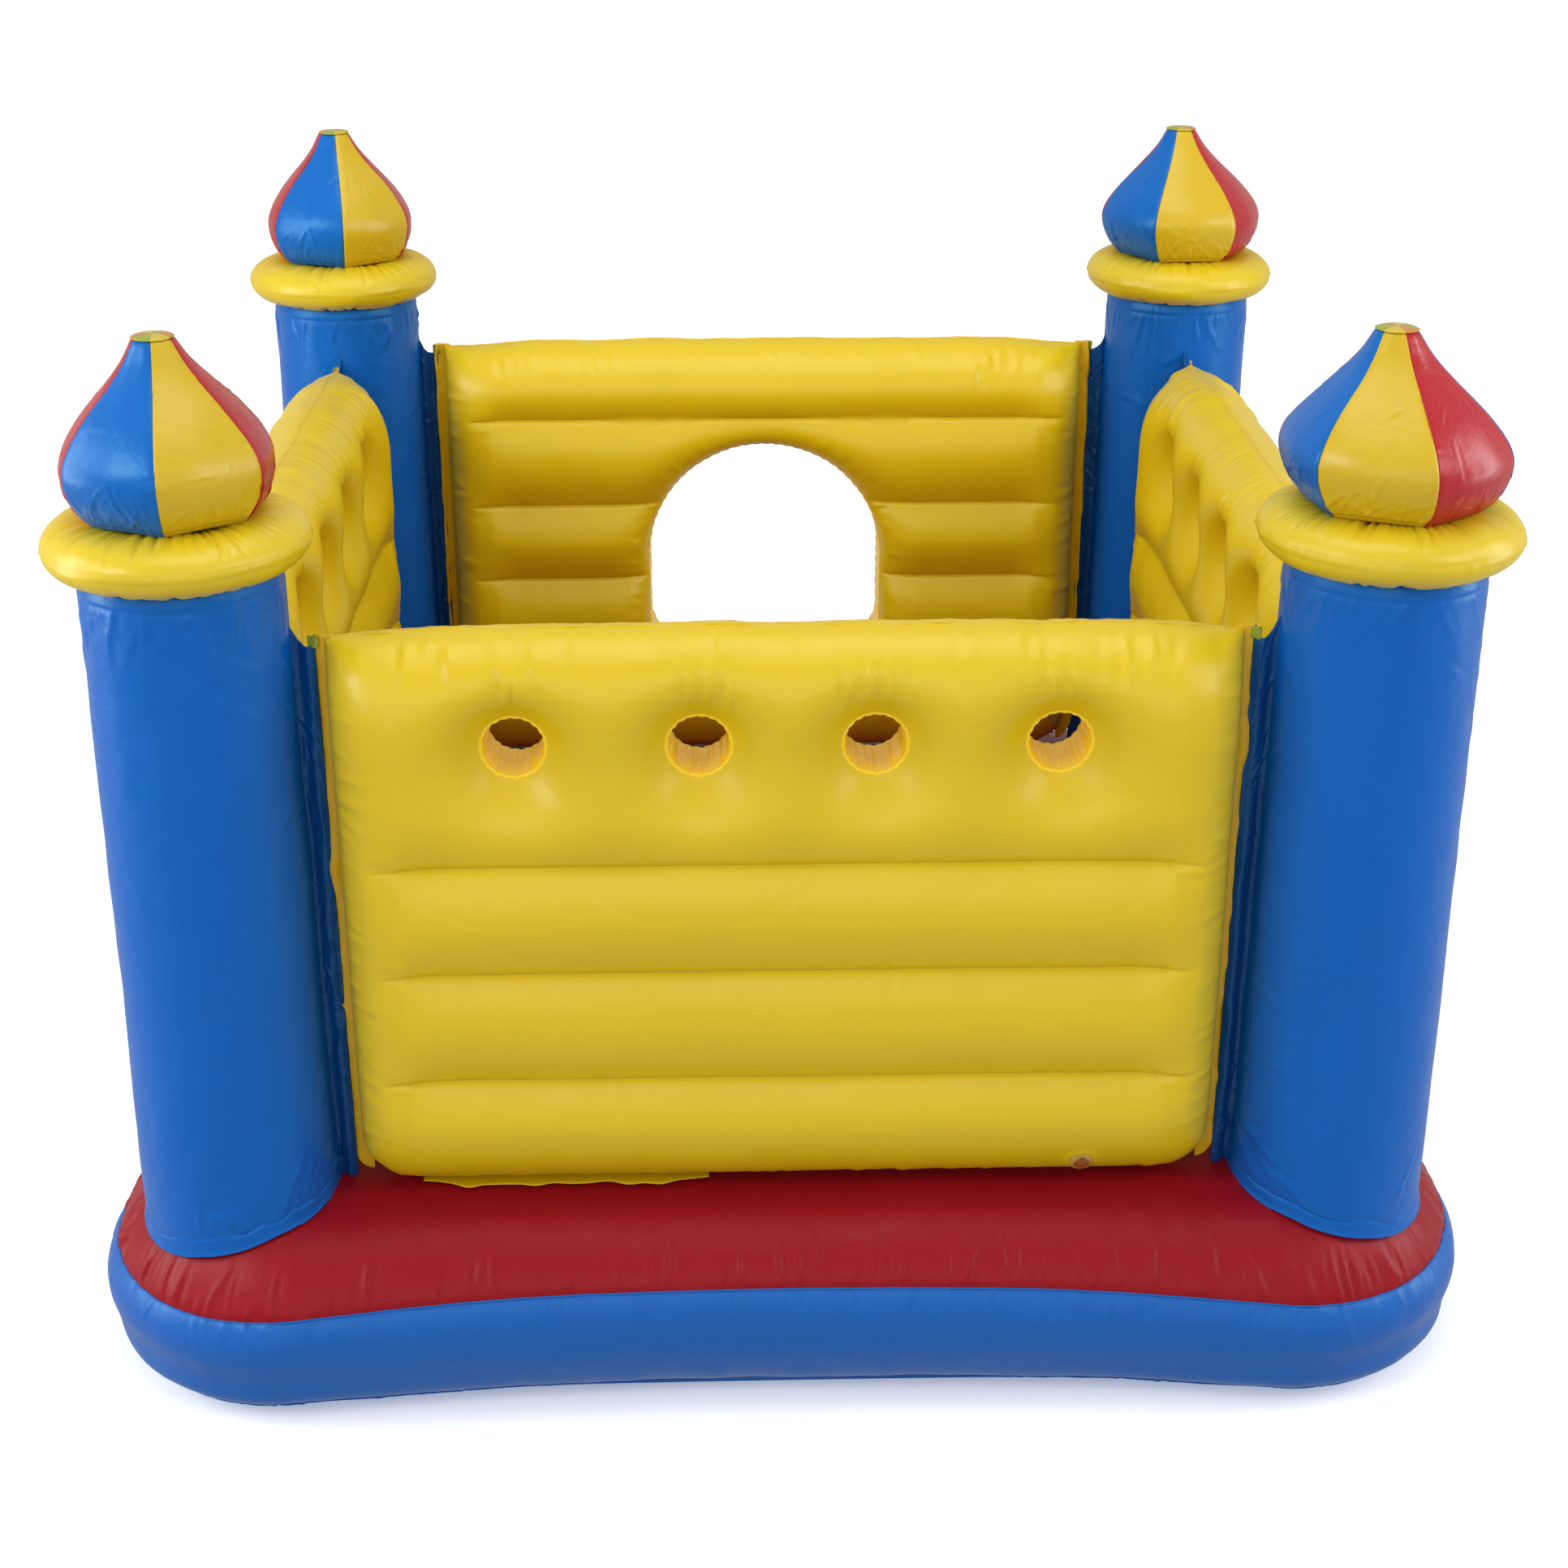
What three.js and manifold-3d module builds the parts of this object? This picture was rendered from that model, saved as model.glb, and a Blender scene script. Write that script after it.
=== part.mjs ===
// Inflatable bounce house in the shape of a small castle: a rounded square air
// base with a bouncing floor, four towers, four quilted air walls joined to the
// towers by plain sheet webs, and on each tower a ring collar and an onion dome.
// Millimetres, +Z up, +Y towards the doorway wall at the back, origin at the
// centre of the underside.
import * as THREE from "three";
import { mergeVertices } from "three/addons/utils/BufferGeometryUtils.js";
import Module from "manifold-3d";

const wasm = await Module();
wasm.setup();

// ---------- driving dimensions ----------
const GAP = 0.3; // clearance between welded neighbours
const SKIN = 6; // modelled skin thickness of the large air chambers

const BASE_HALF = 875; // half width of the base over its bulge
const BASE_CORNER_R = 230; // plan radius of the base corners
const BASE_H = 250; // height of the deck
const DECK_SEAM_Z = 187; // weld between the side band and the deck
const BOTTOM_SEAM_Z = 8; // weld between the side band and the bottom sheet
// half section of the base: distance in from the outermost line, height
const BASE_SECTION = [
  [92, 0],
  [47, 8],
  [17, 38],
  [0, 80],
  [0, 148],
  [20, 187],
  [48, 215],
  [88, 238],
  [138, 250],
];

const FLOOR_OPENING_HALF = 590; // opening in the deck that the bounce floor fills
const FLOOR_HALF = 586;
const FLOOR_TOP_Z = 286;
const FLOOR_EDGE_Z = 240;
const FLOOR_TRAVEL = 80; // how far the floor sinks under a child

const TOWER_C = 698; // tower axes, from the centre, in X and in Y
const TOWER_R_FOOT = 125;
const TOWER_R_TOP = 117;
const TOWER_TOP_Z = 1075.4;
const TOWER_PORT_R = 42; // air port into the dome

const RING_R = 99.8; // collar: radius of the tube's centre line
const RING_TUBE_A = 52.8; // collar tube half width
const RING_TUBE_B = 35; // collar tube half height
const RING_Z = 1111;
const RING_SKIN = 5;

// onion dome: radius, height
const DOME_PROFILE = [
  [42, 1147.6],
  [100, 1148.6],
  [119, 1166],
  [126, 1208],
  [102, 1251],
  [62, 1296],
  [22, 1338],
  [0, 1350],
];
const DOME_LINING = [
  [0, 1344],
  [58, 1292],
  [98, 1247],
  [121, 1206],
  [117, 1185],
  [98, 1171],
  [42, 1170.4],
];
const DOME_GORES = 6;

const WALL_MID = 698; // mid plane of each wall from the centre
const WALL_HALF_L = 548; // half length, over the end welds
const WALL_T = 90; // half thickness at a bulge
const WALL_GROOVE = 75; // half thickness at a tension band
const WALL_BOTTOM_Z = 258;
const WALL_TOP_Z = 1000;
const WALL_BANDS_Z = [430, 578, 720]; // tension bands of the front and side walls
const DOOR_BANDS_Z = [430, 600, 731, 880]; // tension bands of the doorway wall
const BAND_HALF_L = 455;
const BAND_T = 4;
const HOLE_X = [-322, -104, 104, 322];
const HOLE_Z = 865;
const HOLE_R = 38;
const LINER_T = 4;
const DOOR_HALF_W = 200;
const DOOR_SILL_Z = 452;
const DOOR_TOP_Z = 832;

const WEB_T = 4;

const VALVE = {
  x: -370, // along the wall, seen with the outside at +Y
  flangeR: 16,
  flangeT: 2.5,
  tubeR: 11,
  boreR: 8,
  tubeL: 25,
  portR: 12,
  capR: 9.5,
  capT: 2.2,
  recess: 5.5, // depth of the seat below the skin
  pocketR: 18.5,
  cupR: 23,
  hingeUp: 11,
  hingeOut: 4.1,
};
const BASE_VALVE_X = 450;
const BASE_VALVE_Z = 114;

// ---------- materials ----------
const pvc = (color, roughness = 0.38) =>
  new THREE.MeshStandardMaterial({ color, roughness, metalness: 0 });
const BLUE = pvc(0x2058a8);
const YELLOW = pvc(0xd6bb21);
const RED = pvc(0x911821);
const CLEAR = pvc(0xd9d6cf, 0.2);
const ORANGE = pvc(0x9a5a2a, 0.35);

// ---------- solids ----------
// A closed geometry as a solid, turned right side out if its winding is reversed.
function solid(geometry, matrix) {
  const g = geometry.index ? geometry.toNonIndexed() : geometry.clone();
  const plain = new THREE.BufferGeometry().setAttribute(
    "position",
    g.getAttribute("position").clone(),
  );
  if (matrix) plain.applyMatrix4(matrix);
  const merged = mergeVertices(plain, 1e-3);
  const position = merged.attributes.position.array;
  const index = Array.from(merged.index.array);
  const kept = [];
  for (let i = 0; i < index.length; i += 3) {
    const [a, b, c] = index.slice(i, i + 3);
    if (a !== b && b !== c && a !== c) kept.push(a, b, c);
  }
  let volume = 0;
  const p = (i) =>
    new THREE.Vector3(position[3 * i], position[3 * i + 1], position[3 * i + 2]);
  for (let i = 0; i < kept.length; i += 3)
    volume += p(kept[i]).dot(p(kept[i + 1]).cross(p(kept[i + 2])));
  if (volume < 0)
    for (let i = 0; i < kept.length; i += 3)
      [kept[i + 1], kept[i + 2]] = [kept[i + 2], kept[i + 1]];
  return new wasm.Manifold(
    new wasm.Mesh({
      numProp: 3,
      vertProperties: new Float32Array(position),
      triVerts: new Uint32Array(kept),
    }),
  );
}

function geometryOf(made) {
  const m = made.getMesh();
  const v = new Float32Array(m.numVert * 3);
  for (let i = 0; i < m.numVert; i++)
    v.set(
      m.vertProperties.subarray(i * m.numProp, i * m.numProp + 3),
      i * 3,
    );
  const g = new THREE.BufferGeometry()
    .setAttribute("position", new THREE.BufferAttribute(v, 3))
    .setIndex(new THREE.BufferAttribute(new Uint32Array(m.triVerts), 1));
  g.computeVertexNormals();
  return g;
}

const V = (x, y, z) => new THREE.Vector3(x, y, z);
const turnZ = (angle) => new THREE.Matrix4().makeRotationZ(angle);
const move = (x, y, z) => new THREE.Matrix4().makeTranslation(x, y, z);
// shape plane (x, y) to (Y, Z), extruded along X
const ALONG_X = new THREE.Matrix4().makeBasis(V(0, 1, 0), V(0, 0, 1), V(1, 0, 0));
// shape plane (x, y) to (X, Z), extruded along -Y
const ALONG_Y = new THREE.Matrix4().makeBasis(V(1, 0, 0), V(0, 0, 1), V(0, -1, 0));
// a lathe's axis from Y to Z
const UPRIGHT = new THREE.Matrix4().makeRotationX(Math.PI / 2);

// A closed outline extruded by a length and centred on its plane.
function prism(points, length, matrix) {
  const shape = new THREE.Shape(points.map(([x, y]) => new THREE.Vector2(x, y)));
  const g = new THREE.ExtrudeGeometry(shape, {
    depth: length,
    bevelEnabled: false,
    steps: 1,
  });
  g.translate(0, 0, -length / 2);
  return solid(g, matrix);
}

// A profile turned about Z.
function turned(points, segments, matrix) {
  const g = new THREE.LatheGeometry(
    points.map(([x, y]) => new THREE.Vector2(x, y)),
    segments,
  );
  const m = UPRIGHT.clone();
  if (matrix) m.premultiply(matrix);
  return solid(g, m);
}

function box(x0, x1, y0, y1, z0, z1) {
  const g = new THREE.BoxGeometry(x1 - x0, y1 - y0, z1 - z0);
  g.translate((x0 + x1) / 2, (y0 + y1) / 2, (z0 + z1) / 2);
  return solid(g);
}

function cylinder(r, length, segments, matrix) {
  return solid(new THREE.CylinderGeometry(r, r, length, segments), matrix);
}

function roundedSquare(half, r, steps) {
  const points = [];
  [
    [1, 1, 0],
    [-1, 1, 1],
    [-1, -1, 2],
    [1, -1, 3],
  ].forEach(([sx, sy, q]) => {
    for (let i = 0; i <= steps; i++) {
      const a = ((q + i / steps) * Math.PI) / 2;
      points.push([
        sx * (half - r) + r * Math.cos(a),
        sy * (half - r) + r * Math.sin(a),
      ]);
    }
  });
  return points;
}

// ---------- base ----------
// The cushion form of the base, inset by a distance (negative grows it).
function baseForm(inset) {
  const section = BASE_SECTION.map(([d, z]) => [
    d + inset,
    inset + (z * (BASE_H - 2 * inset)) / BASE_H,
  ]);
  const full = [
    ...section.map(([d, z]) => [BASE_HALF - d, z]),
    ...section
      .slice()
      .reverse()
      .map(([d, z]) => [-(BASE_HALF - d), z]),
  ];
  const c = BASE_HALF - BASE_CORNER_R;
  let made = prism(full, 2 * c, ALONG_X).add(prism(full, 2 * c, ALONG_Y));
  const half = [
    [0, section[0][1]],
    ...section.map(([d, z]) => [BASE_CORNER_R - d, z]),
    [0, section.at(-1)[1]],
  ];
  for (const sx of [-1, 1])
    for (const sy of [-1, 1])
      made = made.add(turned(half, 20, move(sx * c, sy * c, 0)));
  return made;
}

const baseOuter = baseForm(0);
const baseSkin = baseOuter.subtract(baseForm(SKIN));
const slab = (z0, z1) => box(-1000, 1000, -1000, 1000, z0, z1);

const floorOpening = prism(roundedSquare(FLOOR_OPENING_HALF, 60, 4), 400).translate(
  [0, 0, 200],
);
const baseValveSeat = move(BASE_VALVE_X, BASE_HALF - VALVE.recess, BASE_VALVE_Z).multiply(
  new THREE.Matrix4().makeBasis(V(-1, 0, 0), V(0, 0, 1), V(0, 1, 0)),
);
// A round bar along a seat's axis, from one height over the seat to another.
const seatBar = (seat, r, from, to) =>
  cylinder(
    r,
    to - from,
    14,
    seat
      .clone()
      .multiply(move(0, 0, (from + to) / 2))
      .multiply(new THREE.Matrix4().makeRotationX(Math.PI / 2)),
  );
const valveCup = (seat) => seatBar(seat, VALVE.cupR, -SKIN, 20);
const valvePocket = (seat) => seatBar(seat, VALVE.pocketR, 0, 40);
const valvePort = (seat) => seatBar(seat, VALVE.portR, -30, 30);

const bottomSheet = baseSkin.intersect(slab(-1, BOTTOM_SEAM_Z));
const sideBand = baseSkin
  .intersect(slab(BOTTOM_SEAM_Z + GAP, DECK_SEAM_Z))
  .add(valveCup(baseValveSeat).intersect(baseOuter))
  .subtract(valvePocket(baseValveSeat))
  .subtract(valvePort(baseValveSeat));
const deck = baseSkin
  .intersect(slab(DECK_SEAM_Z + GAP, 400))
  .subtract(floorOpening);

// Bounce floor: a crowned pad skin, open below.
function floorForm(inset) {
  const shape = new THREE.Shape(
    roundedSquare(FLOOR_HALF - inset - 70, 40, 3).map(
      ([x, y]) => new THREE.Vector2(x, y),
    ),
  );
  const bevel = FLOOR_TOP_Z - FLOOR_EDGE_Z - 12;
  const g = new THREE.ExtrudeGeometry(shape, {
    depth: 100,
    bevelEnabled: true,
    bevelSize: 70,
    bevelThickness: bevel,
    bevelSegments: 3,
    steps: 1,
  });
  g.translate(0, 0, FLOOR_TOP_Z - inset - bevel - 100);
  return solid(g);
}
const bounceFloor = floorForm(0)
  .subtract(floorForm(SKIN))
  .intersect(slab(FLOOR_EDGE_Z, 400));

// Tension bands that stand on the bottom sheet and hold the floor flat. They
// end below the floor's lowest position.
const bandTop = FLOOR_TOP_Z - SKIN - FLOOR_TRAVEL - 14;
let floorBands = null;
for (const at of [-330, 0, 330]) {
  for (const strip of [
    box(at - 2, at + 2, -540, 540, SKIN + GAP, bandTop),
    box(-540, 540, at - 2, at + 2, SKIN + GAP, bandTop),
  ])
    floorBands = floorBands ? floorBands.add(strip) : strip;
}

// ---------- towers ----------
const baseGrown = baseForm(-0.4);
function towerRadius(z) {
  return (
    TOWER_R_FOOT +
    ((TOWER_R_TOP - TOWER_R_FOOT) * (z - 150)) / (TOWER_TOP_Z - 150)
  );
}
function tower(sx, sy) {
  return turned(
    [
      [TOWER_R_FOOT, 150],
      [towerRadius(TOWER_TOP_Z - 14), TOWER_TOP_Z - 14],
      [TOWER_R_TOP - 6, TOWER_TOP_Z],
      [TOWER_PORT_R, TOWER_TOP_Z],
      [TOWER_PORT_R, TOWER_TOP_Z - SKIN],
      [TOWER_R_TOP - 10, TOWER_TOP_Z - SKIN],
      [TOWER_R_TOP - 5, TOWER_TOP_Z - 16],
      [TOWER_R_FOOT - SKIN, 150],
      [TOWER_R_FOOT, 150],
    ],
    18,
    move(sx * TOWER_C, sy * TOWER_C, 0),
  ).subtract(baseGrown);
}

// Collar: a ring tube with a slot below, where it is welded to the tower.
const ringSection = (() => {
  const outer = [],
    inner = [];
  const from = -Math.PI / 2 + 0.32,
    to = (3 * Math.PI) / 2 - 0.32;
  for (let i = 0; i <= 7; i++) {
    const a = from + ((to - from) * i) / 7;
    outer.push([
      RING_R + RING_TUBE_A * Math.cos(a),
      RING_Z + RING_TUBE_B * Math.sin(a),
    ]);
  }
  for (let i = 5; i >= 0; i--) {
    const a = from + ((to - from) * i) / 5;
    inner.push([
      RING_R + (RING_TUBE_A - RING_SKIN - 2) * Math.cos(a),
      RING_Z + (RING_TUBE_B - RING_SKIN - 2) * Math.sin(a),
    ]);
  }
  return [...outer, ...inner, outer[0]];
})();
const ringSolid = turned(ringSection, 18);

// Onion dome skin, open below, cut into gores.
const domeSkin = turned([...DOME_PROFILE, ...DOME_LINING, DOME_PROFILE[0]], 18);
function gore(start) {
  const step = (2 * Math.PI) / DOME_GORES;
  const mid = start + step / 2;
  const off = (GAP / 2 + 0.05) / Math.sin(step / 2);
  const reach = 400;
  const wedge = [
    [off * Math.cos(mid), off * Math.sin(mid)],
    [
      off * Math.cos(mid) + reach * Math.cos(start),
      off * Math.sin(mid) + reach * Math.sin(start),
    ],
    [
      off * Math.cos(mid) + reach * Math.cos(start + step),
      off * Math.sin(mid) + reach * Math.sin(start + step),
    ],
  ];
  return domeSkin.intersect(prism(wedge, 600, move(0, 0, 1250)));
}

// ---------- walls ----------
// Outline of a wall's section: half thickness and height, from bottom to top,
// with a groove at each tension band and a flat seat for the valve low outside.
function wallSection(bands, inset) {
  const k = (z) =>
    WALL_BOTTOM_Z +
    inset +
    ((z - WALL_BOTTOM_Z) * (WALL_TOP_Z - WALL_BOTTOM_Z - 2 * inset)) /
      (WALL_TOP_Z - WALL_BOTTOM_Z);
  const side = [
    [22, WALL_BOTTOM_Z],
    [64, 272],
    [90, 330],
    [90, bands[0] - 40],
  ];
  bands.forEach((z, i) => {
    side.push([WALL_GROOVE, z]);
    const next = bands[i + 1];
    if (next) {
      side.push([WALL_T - 1, z + (next - z) * 0.28]);
      side.push([WALL_T - 1, z + (next - z) * 0.72]);
    }
  });
  const last = bands.at(-1);
  const rest = WALL_TOP_Z - last;
  side.push(
    [WALL_T, last + rest * 0.2],
    [WALL_T, last + rest * 0.5],
    [WALL_T * 0.85, last + rest * 0.75],
    [WALL_T * 0.55, last + rest * 0.92],
    [14, WALL_TOP_Z],
  );
  const at = side.map(([y, z]) => [Math.max(y - inset, 4), k(z)]);
  return [...at, ...at.slice().reverse().map(([y, z]) => [-y, z])];
}

function wallPlan(inset) {
  const t = (y) => y - inset;
  const side = inset
    ? [
        [508, t(26)],
        [490, t(58)],
        [462, t(82)],
        [430, t(96)],
      ]
    : [
        [WALL_HALF_L, 2.5],
        [WALL_HALF_L - 24, 2.5],
        [514, 30],
        [495, 62],
        [466, 86],
        [430, 96],
      ];
  const back = side.slice().reverse();
  return [
    ...back.map(([x, y]) => [x, -y]),
    ...side.map(([x, y]) => [x, y]),
    ...back.map(([x, y]) => [-x, y]),
    ...side.map(([x, y]) => [-x, -y]),
  ];
}

// Doorway outline, grown by a distance.
function doorOutline(grow) {
  const w = DOOR_HALF_W + grow,
    low = DOOR_SILL_Z - grow,
    spring = DOOR_TOP_Z - DOOR_HALF_W,
    r = 60;
  const points = [
    [-w + r, low],
    [w - r, low],
    [w - r * 0.3, low + r * 0.3],
    [w, low + r],
  ];
  for (let i = 0; i <= 10; i++) {
    const a = (i / 10) * Math.PI;
    points.push([w * Math.cos(a), spring + w * Math.sin(a)]);
  }
  points.push([-w, low + r], [-w + r * 0.3, low + r * 0.3]);
  return points;
}

// The valve seat on a wall: a frame with Z out of the flat seat and Y up it.
const seatTilt = Math.atan2(90 - 64, 330 - 272);
const wallValveSeat = move(VALVE.x, (64 + 90) / 2, (272 + 330) / 2)
  .multiply(
    new THREE.Matrix4().makeBasis(
      V(-1, 0, 0),
      V(0, Math.sin(seatTilt), Math.cos(seatTilt)),
      V(0, Math.cos(seatTilt), -Math.sin(seatTilt)),
    ),
  )
  .multiply(move(0, 0, -VALVE.recess));

// A wall in its own frame: X along it, +Y outwards, mid plane at Y = 0.
function wall(bands, doorway) {
  const long = 2 * WALL_HALF_L + 20;
  const outer = prism(wallSection(bands, 0), long, ALONG_X).intersect(
    prism(wallPlan(0), 2400),
  );
  let air = prism(wallSection(bands, SKIN), long, ALONG_X).intersect(
    prism(wallPlan(SKIN), 2400),
  );
  for (const z of bands) {
    air = air.subtract(
      box(-BAND_HALF_L, BAND_HALF_L, -100, 100, z - BAND_T / 2, z + BAND_T / 2),
    );
  }
  if (doorway) air = air.subtract(prism(doorOutline(SKIN), 300, ALONG_Y));
  else
    for (const x of HOLE_X)
      air = air.subtract(cylinder(HOLE_R + LINER_T, 300, 12, move(x, 0, HOLE_Z)));
  air = air.subtract(valveCup(wallValveSeat));
  let made = outer.subtract(air);
  if (doorway) made = made.subtract(prism(doorOutline(0), 300, ALONG_Y));
  else
    for (const x of HOLE_X)
      made = made.subtract(cylinder(HOLE_R, 300, 12, move(x, 0, HOLE_Z)));
  return made
    .subtract(valvePocket(wallValveSeat))
    .subtract(valvePort(wallValveSeat));
}

// A web beside the +X end of a wall, in the wall's frame.
const webOutline = (() => {
  const end = WALL_HALF_L + GAP + 0.1;
  const side = (z) => TOWER_C - towerRadius(z) - GAP - 0.3;
  const low = BASE_H + 0.6;
  return [
    [end, low],
    [side(low), low],
    [side(620), 620],
    [side(1022), 1022],
    [end + 14, 992],
    [end, 984],
  ];
})();
const web = prism(webOutline, WEB_T, ALONG_Y);
const webMirror = prism(
  webOutline.map(([x, z]) => [-x, z]).reverse(),
  WEB_T,
  ALONG_Y,
);

// ---------- valves ----------
const valveBody = turned(
  [
    [VALVE.boreR, GAP + VALVE.flangeT],
    [VALVE.flangeR, GAP + VALVE.flangeT],
    [VALVE.flangeR, GAP],
    [VALVE.tubeR, GAP],
    [VALVE.tubeR, -VALVE.tubeL],
    [VALVE.boreR, -VALVE.tubeL],
    [VALVE.boreR, GAP + VALVE.flangeT],
  ],
  14,
);
const capLow = GAP + VALVE.flangeT + 0.2;
const valvePlug = turned(
  [
    [0, capLow + VALVE.capT],
    [VALVE.capR, capLow + VALVE.capT],
    [VALVE.capR, capLow],
    [6.6, capLow],
    [5.3, -4],
    [0, -4],
  ],
  14,
).add(box(-2.5, 2.5, 7, VALVE.hingeUp + 0.5, capLow, capLow + VALVE.capT));

// ---------- assembly ----------
const root = new THREE.Group();
function add(name, made, material, parent = root) {
  const mesh = new THREE.Mesh(geometryOf(made), material);
  mesh.name = name;
  parent.add(mesh);
  return mesh;
}
function group(matrix, parent = root) {
  const g = new THREE.Group();
  matrix.decompose(g.position, g.quaternion, g.scale);
  parent.add(g);
  return g;
}

add("base_bottom_sheet", bottomSheet, BLUE);
add("base_side_band", sideBand, BLUE);
add("base_deck", deck, RED);
add("bounce_floor", bounceFloor, RED);
add("floor_tension_bands", floorBands, RED);

// angle of the weld between a blue and a yellow gore, as seen from above
const CORNERS = {
  front_left: [-1, -1, 276],
  front_right: [1, -1, 217],
  back_left: [-1, 1, 281],
  back_right: [1, 1, 243],
};
const GORE_COLOURS = [YELLOW, RED, BLUE];
for (const [corner, [sx, sy, seam]] of Object.entries(CORNERS)) {
  add(`tower_${corner}`, tower(sx, sy), BLUE);
  const top = group(move(sx * TOWER_C, sy * TOWER_C, 0));
  add(`collar_${corner}`, ringSolid, YELLOW, top);
  const dome = group(turnZ((seam * Math.PI) / 180), top);
  for (let i = 0; i < DOME_GORES; i++)
    add(
      `dome_${corner}_gore_${i + 1}`,
      gore((i * 2 * Math.PI) / DOME_GORES),
      GORE_COLOURS[i % 3],
      dome,
    );
}

const plainWall = wall(WALL_BANDS_Z, false);
const doorWall = wall(DOOR_BANDS_Z, true);
const WALLS = {
  front: [Math.PI, plainWall, "left", "right"],
  left: [Math.PI / 2, plainWall, "back", "front"],
  right: [-Math.PI / 2, plainWall, "front", "back"],
  back: [0, doorWall, "right", "left"],
};
for (const [side, [angle, made, plusEnd, minusEnd]] of Object.entries(WALLS)) {
  const frame = group(turnZ(angle).multiply(move(0, WALL_MID, 0)));
  add(`wall_${side}`, made, YELLOW, frame);
  add(`web_${side}_${plusEnd}`, web, BLUE, frame);
  add(`web_${side}_${minusEnd}`, webMirror, BLUE, frame);
  const seat = group(wallValveSeat, frame);
  add(`valve_${side}_body`, valveBody, CLEAR, seat);
  add(`valve_${side}_plug`, valvePlug, ORANGE, seat);
}
const baseSeat = group(baseValveSeat);
add("valve_base_body", valveBody, CLEAR, baseSeat);
add("valve_base_plug", valvePlug, ORANGE, baseSeat);

export default root;
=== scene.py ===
import math

import bmesh
import bpy
import numpy as np
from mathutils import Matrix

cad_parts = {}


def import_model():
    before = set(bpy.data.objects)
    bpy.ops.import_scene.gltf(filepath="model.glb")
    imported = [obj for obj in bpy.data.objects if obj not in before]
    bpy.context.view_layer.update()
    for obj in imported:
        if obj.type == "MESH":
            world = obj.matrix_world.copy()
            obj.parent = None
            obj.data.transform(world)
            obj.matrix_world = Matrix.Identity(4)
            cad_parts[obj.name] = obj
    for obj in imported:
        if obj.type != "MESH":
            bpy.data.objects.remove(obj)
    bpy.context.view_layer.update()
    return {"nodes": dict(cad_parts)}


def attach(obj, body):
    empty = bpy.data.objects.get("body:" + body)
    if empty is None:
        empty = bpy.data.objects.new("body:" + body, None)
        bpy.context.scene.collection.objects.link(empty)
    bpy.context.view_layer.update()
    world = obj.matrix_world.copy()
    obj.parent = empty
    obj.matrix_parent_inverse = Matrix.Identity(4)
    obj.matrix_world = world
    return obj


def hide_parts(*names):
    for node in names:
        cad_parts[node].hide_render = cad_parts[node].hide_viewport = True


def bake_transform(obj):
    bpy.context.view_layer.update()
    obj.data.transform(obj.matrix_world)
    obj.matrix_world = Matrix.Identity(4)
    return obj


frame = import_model()

# ---------------------------------------------------------------- camera
cam_data = bpy.data.cameras.new("camera")
cam_data.lens = 55.98
cam_data.sensor_width = 36.0
cam = bpy.data.objects.new("camera", cam_data)
bpy.context.scene.collection.objects.link(cam)
cam.location = (-0.0765, -3.3773, 1.9866)
cam.rotation_euler = (math.pi / 2 - 0.4180, 0.0, -0.0274)
bpy.context.scene.camera = cam

# ---------------------------------------------------------------- small maths
TAU = 2 * math.pi


def sm(a, b, x):
    t = np.clip((np.asarray(x, float) - a) / (b - a), 0, 1)
    return t * t * (3 - 2 * t)


_tables = {}


def vnoise(x, y, seed, period=None):
    """Smooth value noise in -1..1 on a unit lattice, periodic in x if asked."""
    if seed not in _tables:
        _tables[seed] = np.random.default_rng(seed).random((256, 256)) * 2 - 1
    t = _tables[seed]
    x, y = np.broadcast_arrays(np.asarray(x, float), np.asarray(y, float))
    xi, yi = np.floor(x).astype(int), np.floor(y).astype(int)
    fx, fy = x - xi, y - yi
    fx, fy = fx * fx * (3 - 2 * fx), fy * fy * (3 - 2 * fy)
    x0, x1 = (xi % period, (xi + 1) % period) if period else (xi, xi + 1)
    x0, x1, y0, y1 = x0 % 256, x1 % 256, yi % 256, (yi + 1) % 256
    a = t[x0, y0] * (1 - fx) + t[x1, y0] * fx
    b = t[x0, y1] * (1 - fx) + t[x1, y1] * fx
    return a * (1 - fy) + b * fy


def fbm(x, y, seed, octaves=3):
    s, amp, tot = 0.0, 1.0, 0.0
    for i in range(octaves):
        s = s + amp * vnoise(x * 2**i + 17.3 * i, y * 2**i + 5.1 * i, seed + i)
        tot += amp
        amp *= 0.5
    return s / tot


def creases(s, v, items, period=None):
    """Sum of thin folds on a surface with coordinates s and v in metres.
    Each item: (s0, v0, angle from the v direction, half length, width, height)."""
    out = np.zeros(np.broadcast(s, v).shape)
    for s0, v0, ang, half, wid, amp in items:
        ds = s - s0
        if period:
            ds = (ds + period / 2) % period - period / 2
        dv = v - v0
        c, q = math.cos(ang), math.sin(ang)
        across, along = ds * c - dv * q, ds * q + dv * c
        bow = across - 0.12 * half * (along / half) ** 2
        body = np.clip(1 - (along / half) ** 2, 0, 1) ** 1.5
        out += amp * body * (np.exp(-((bow / wid) ** 2)) - 0.55 * np.exp(-(((bow - 1.9 * wid) / (1.5 * wid)) ** 2)))
    return out


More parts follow.
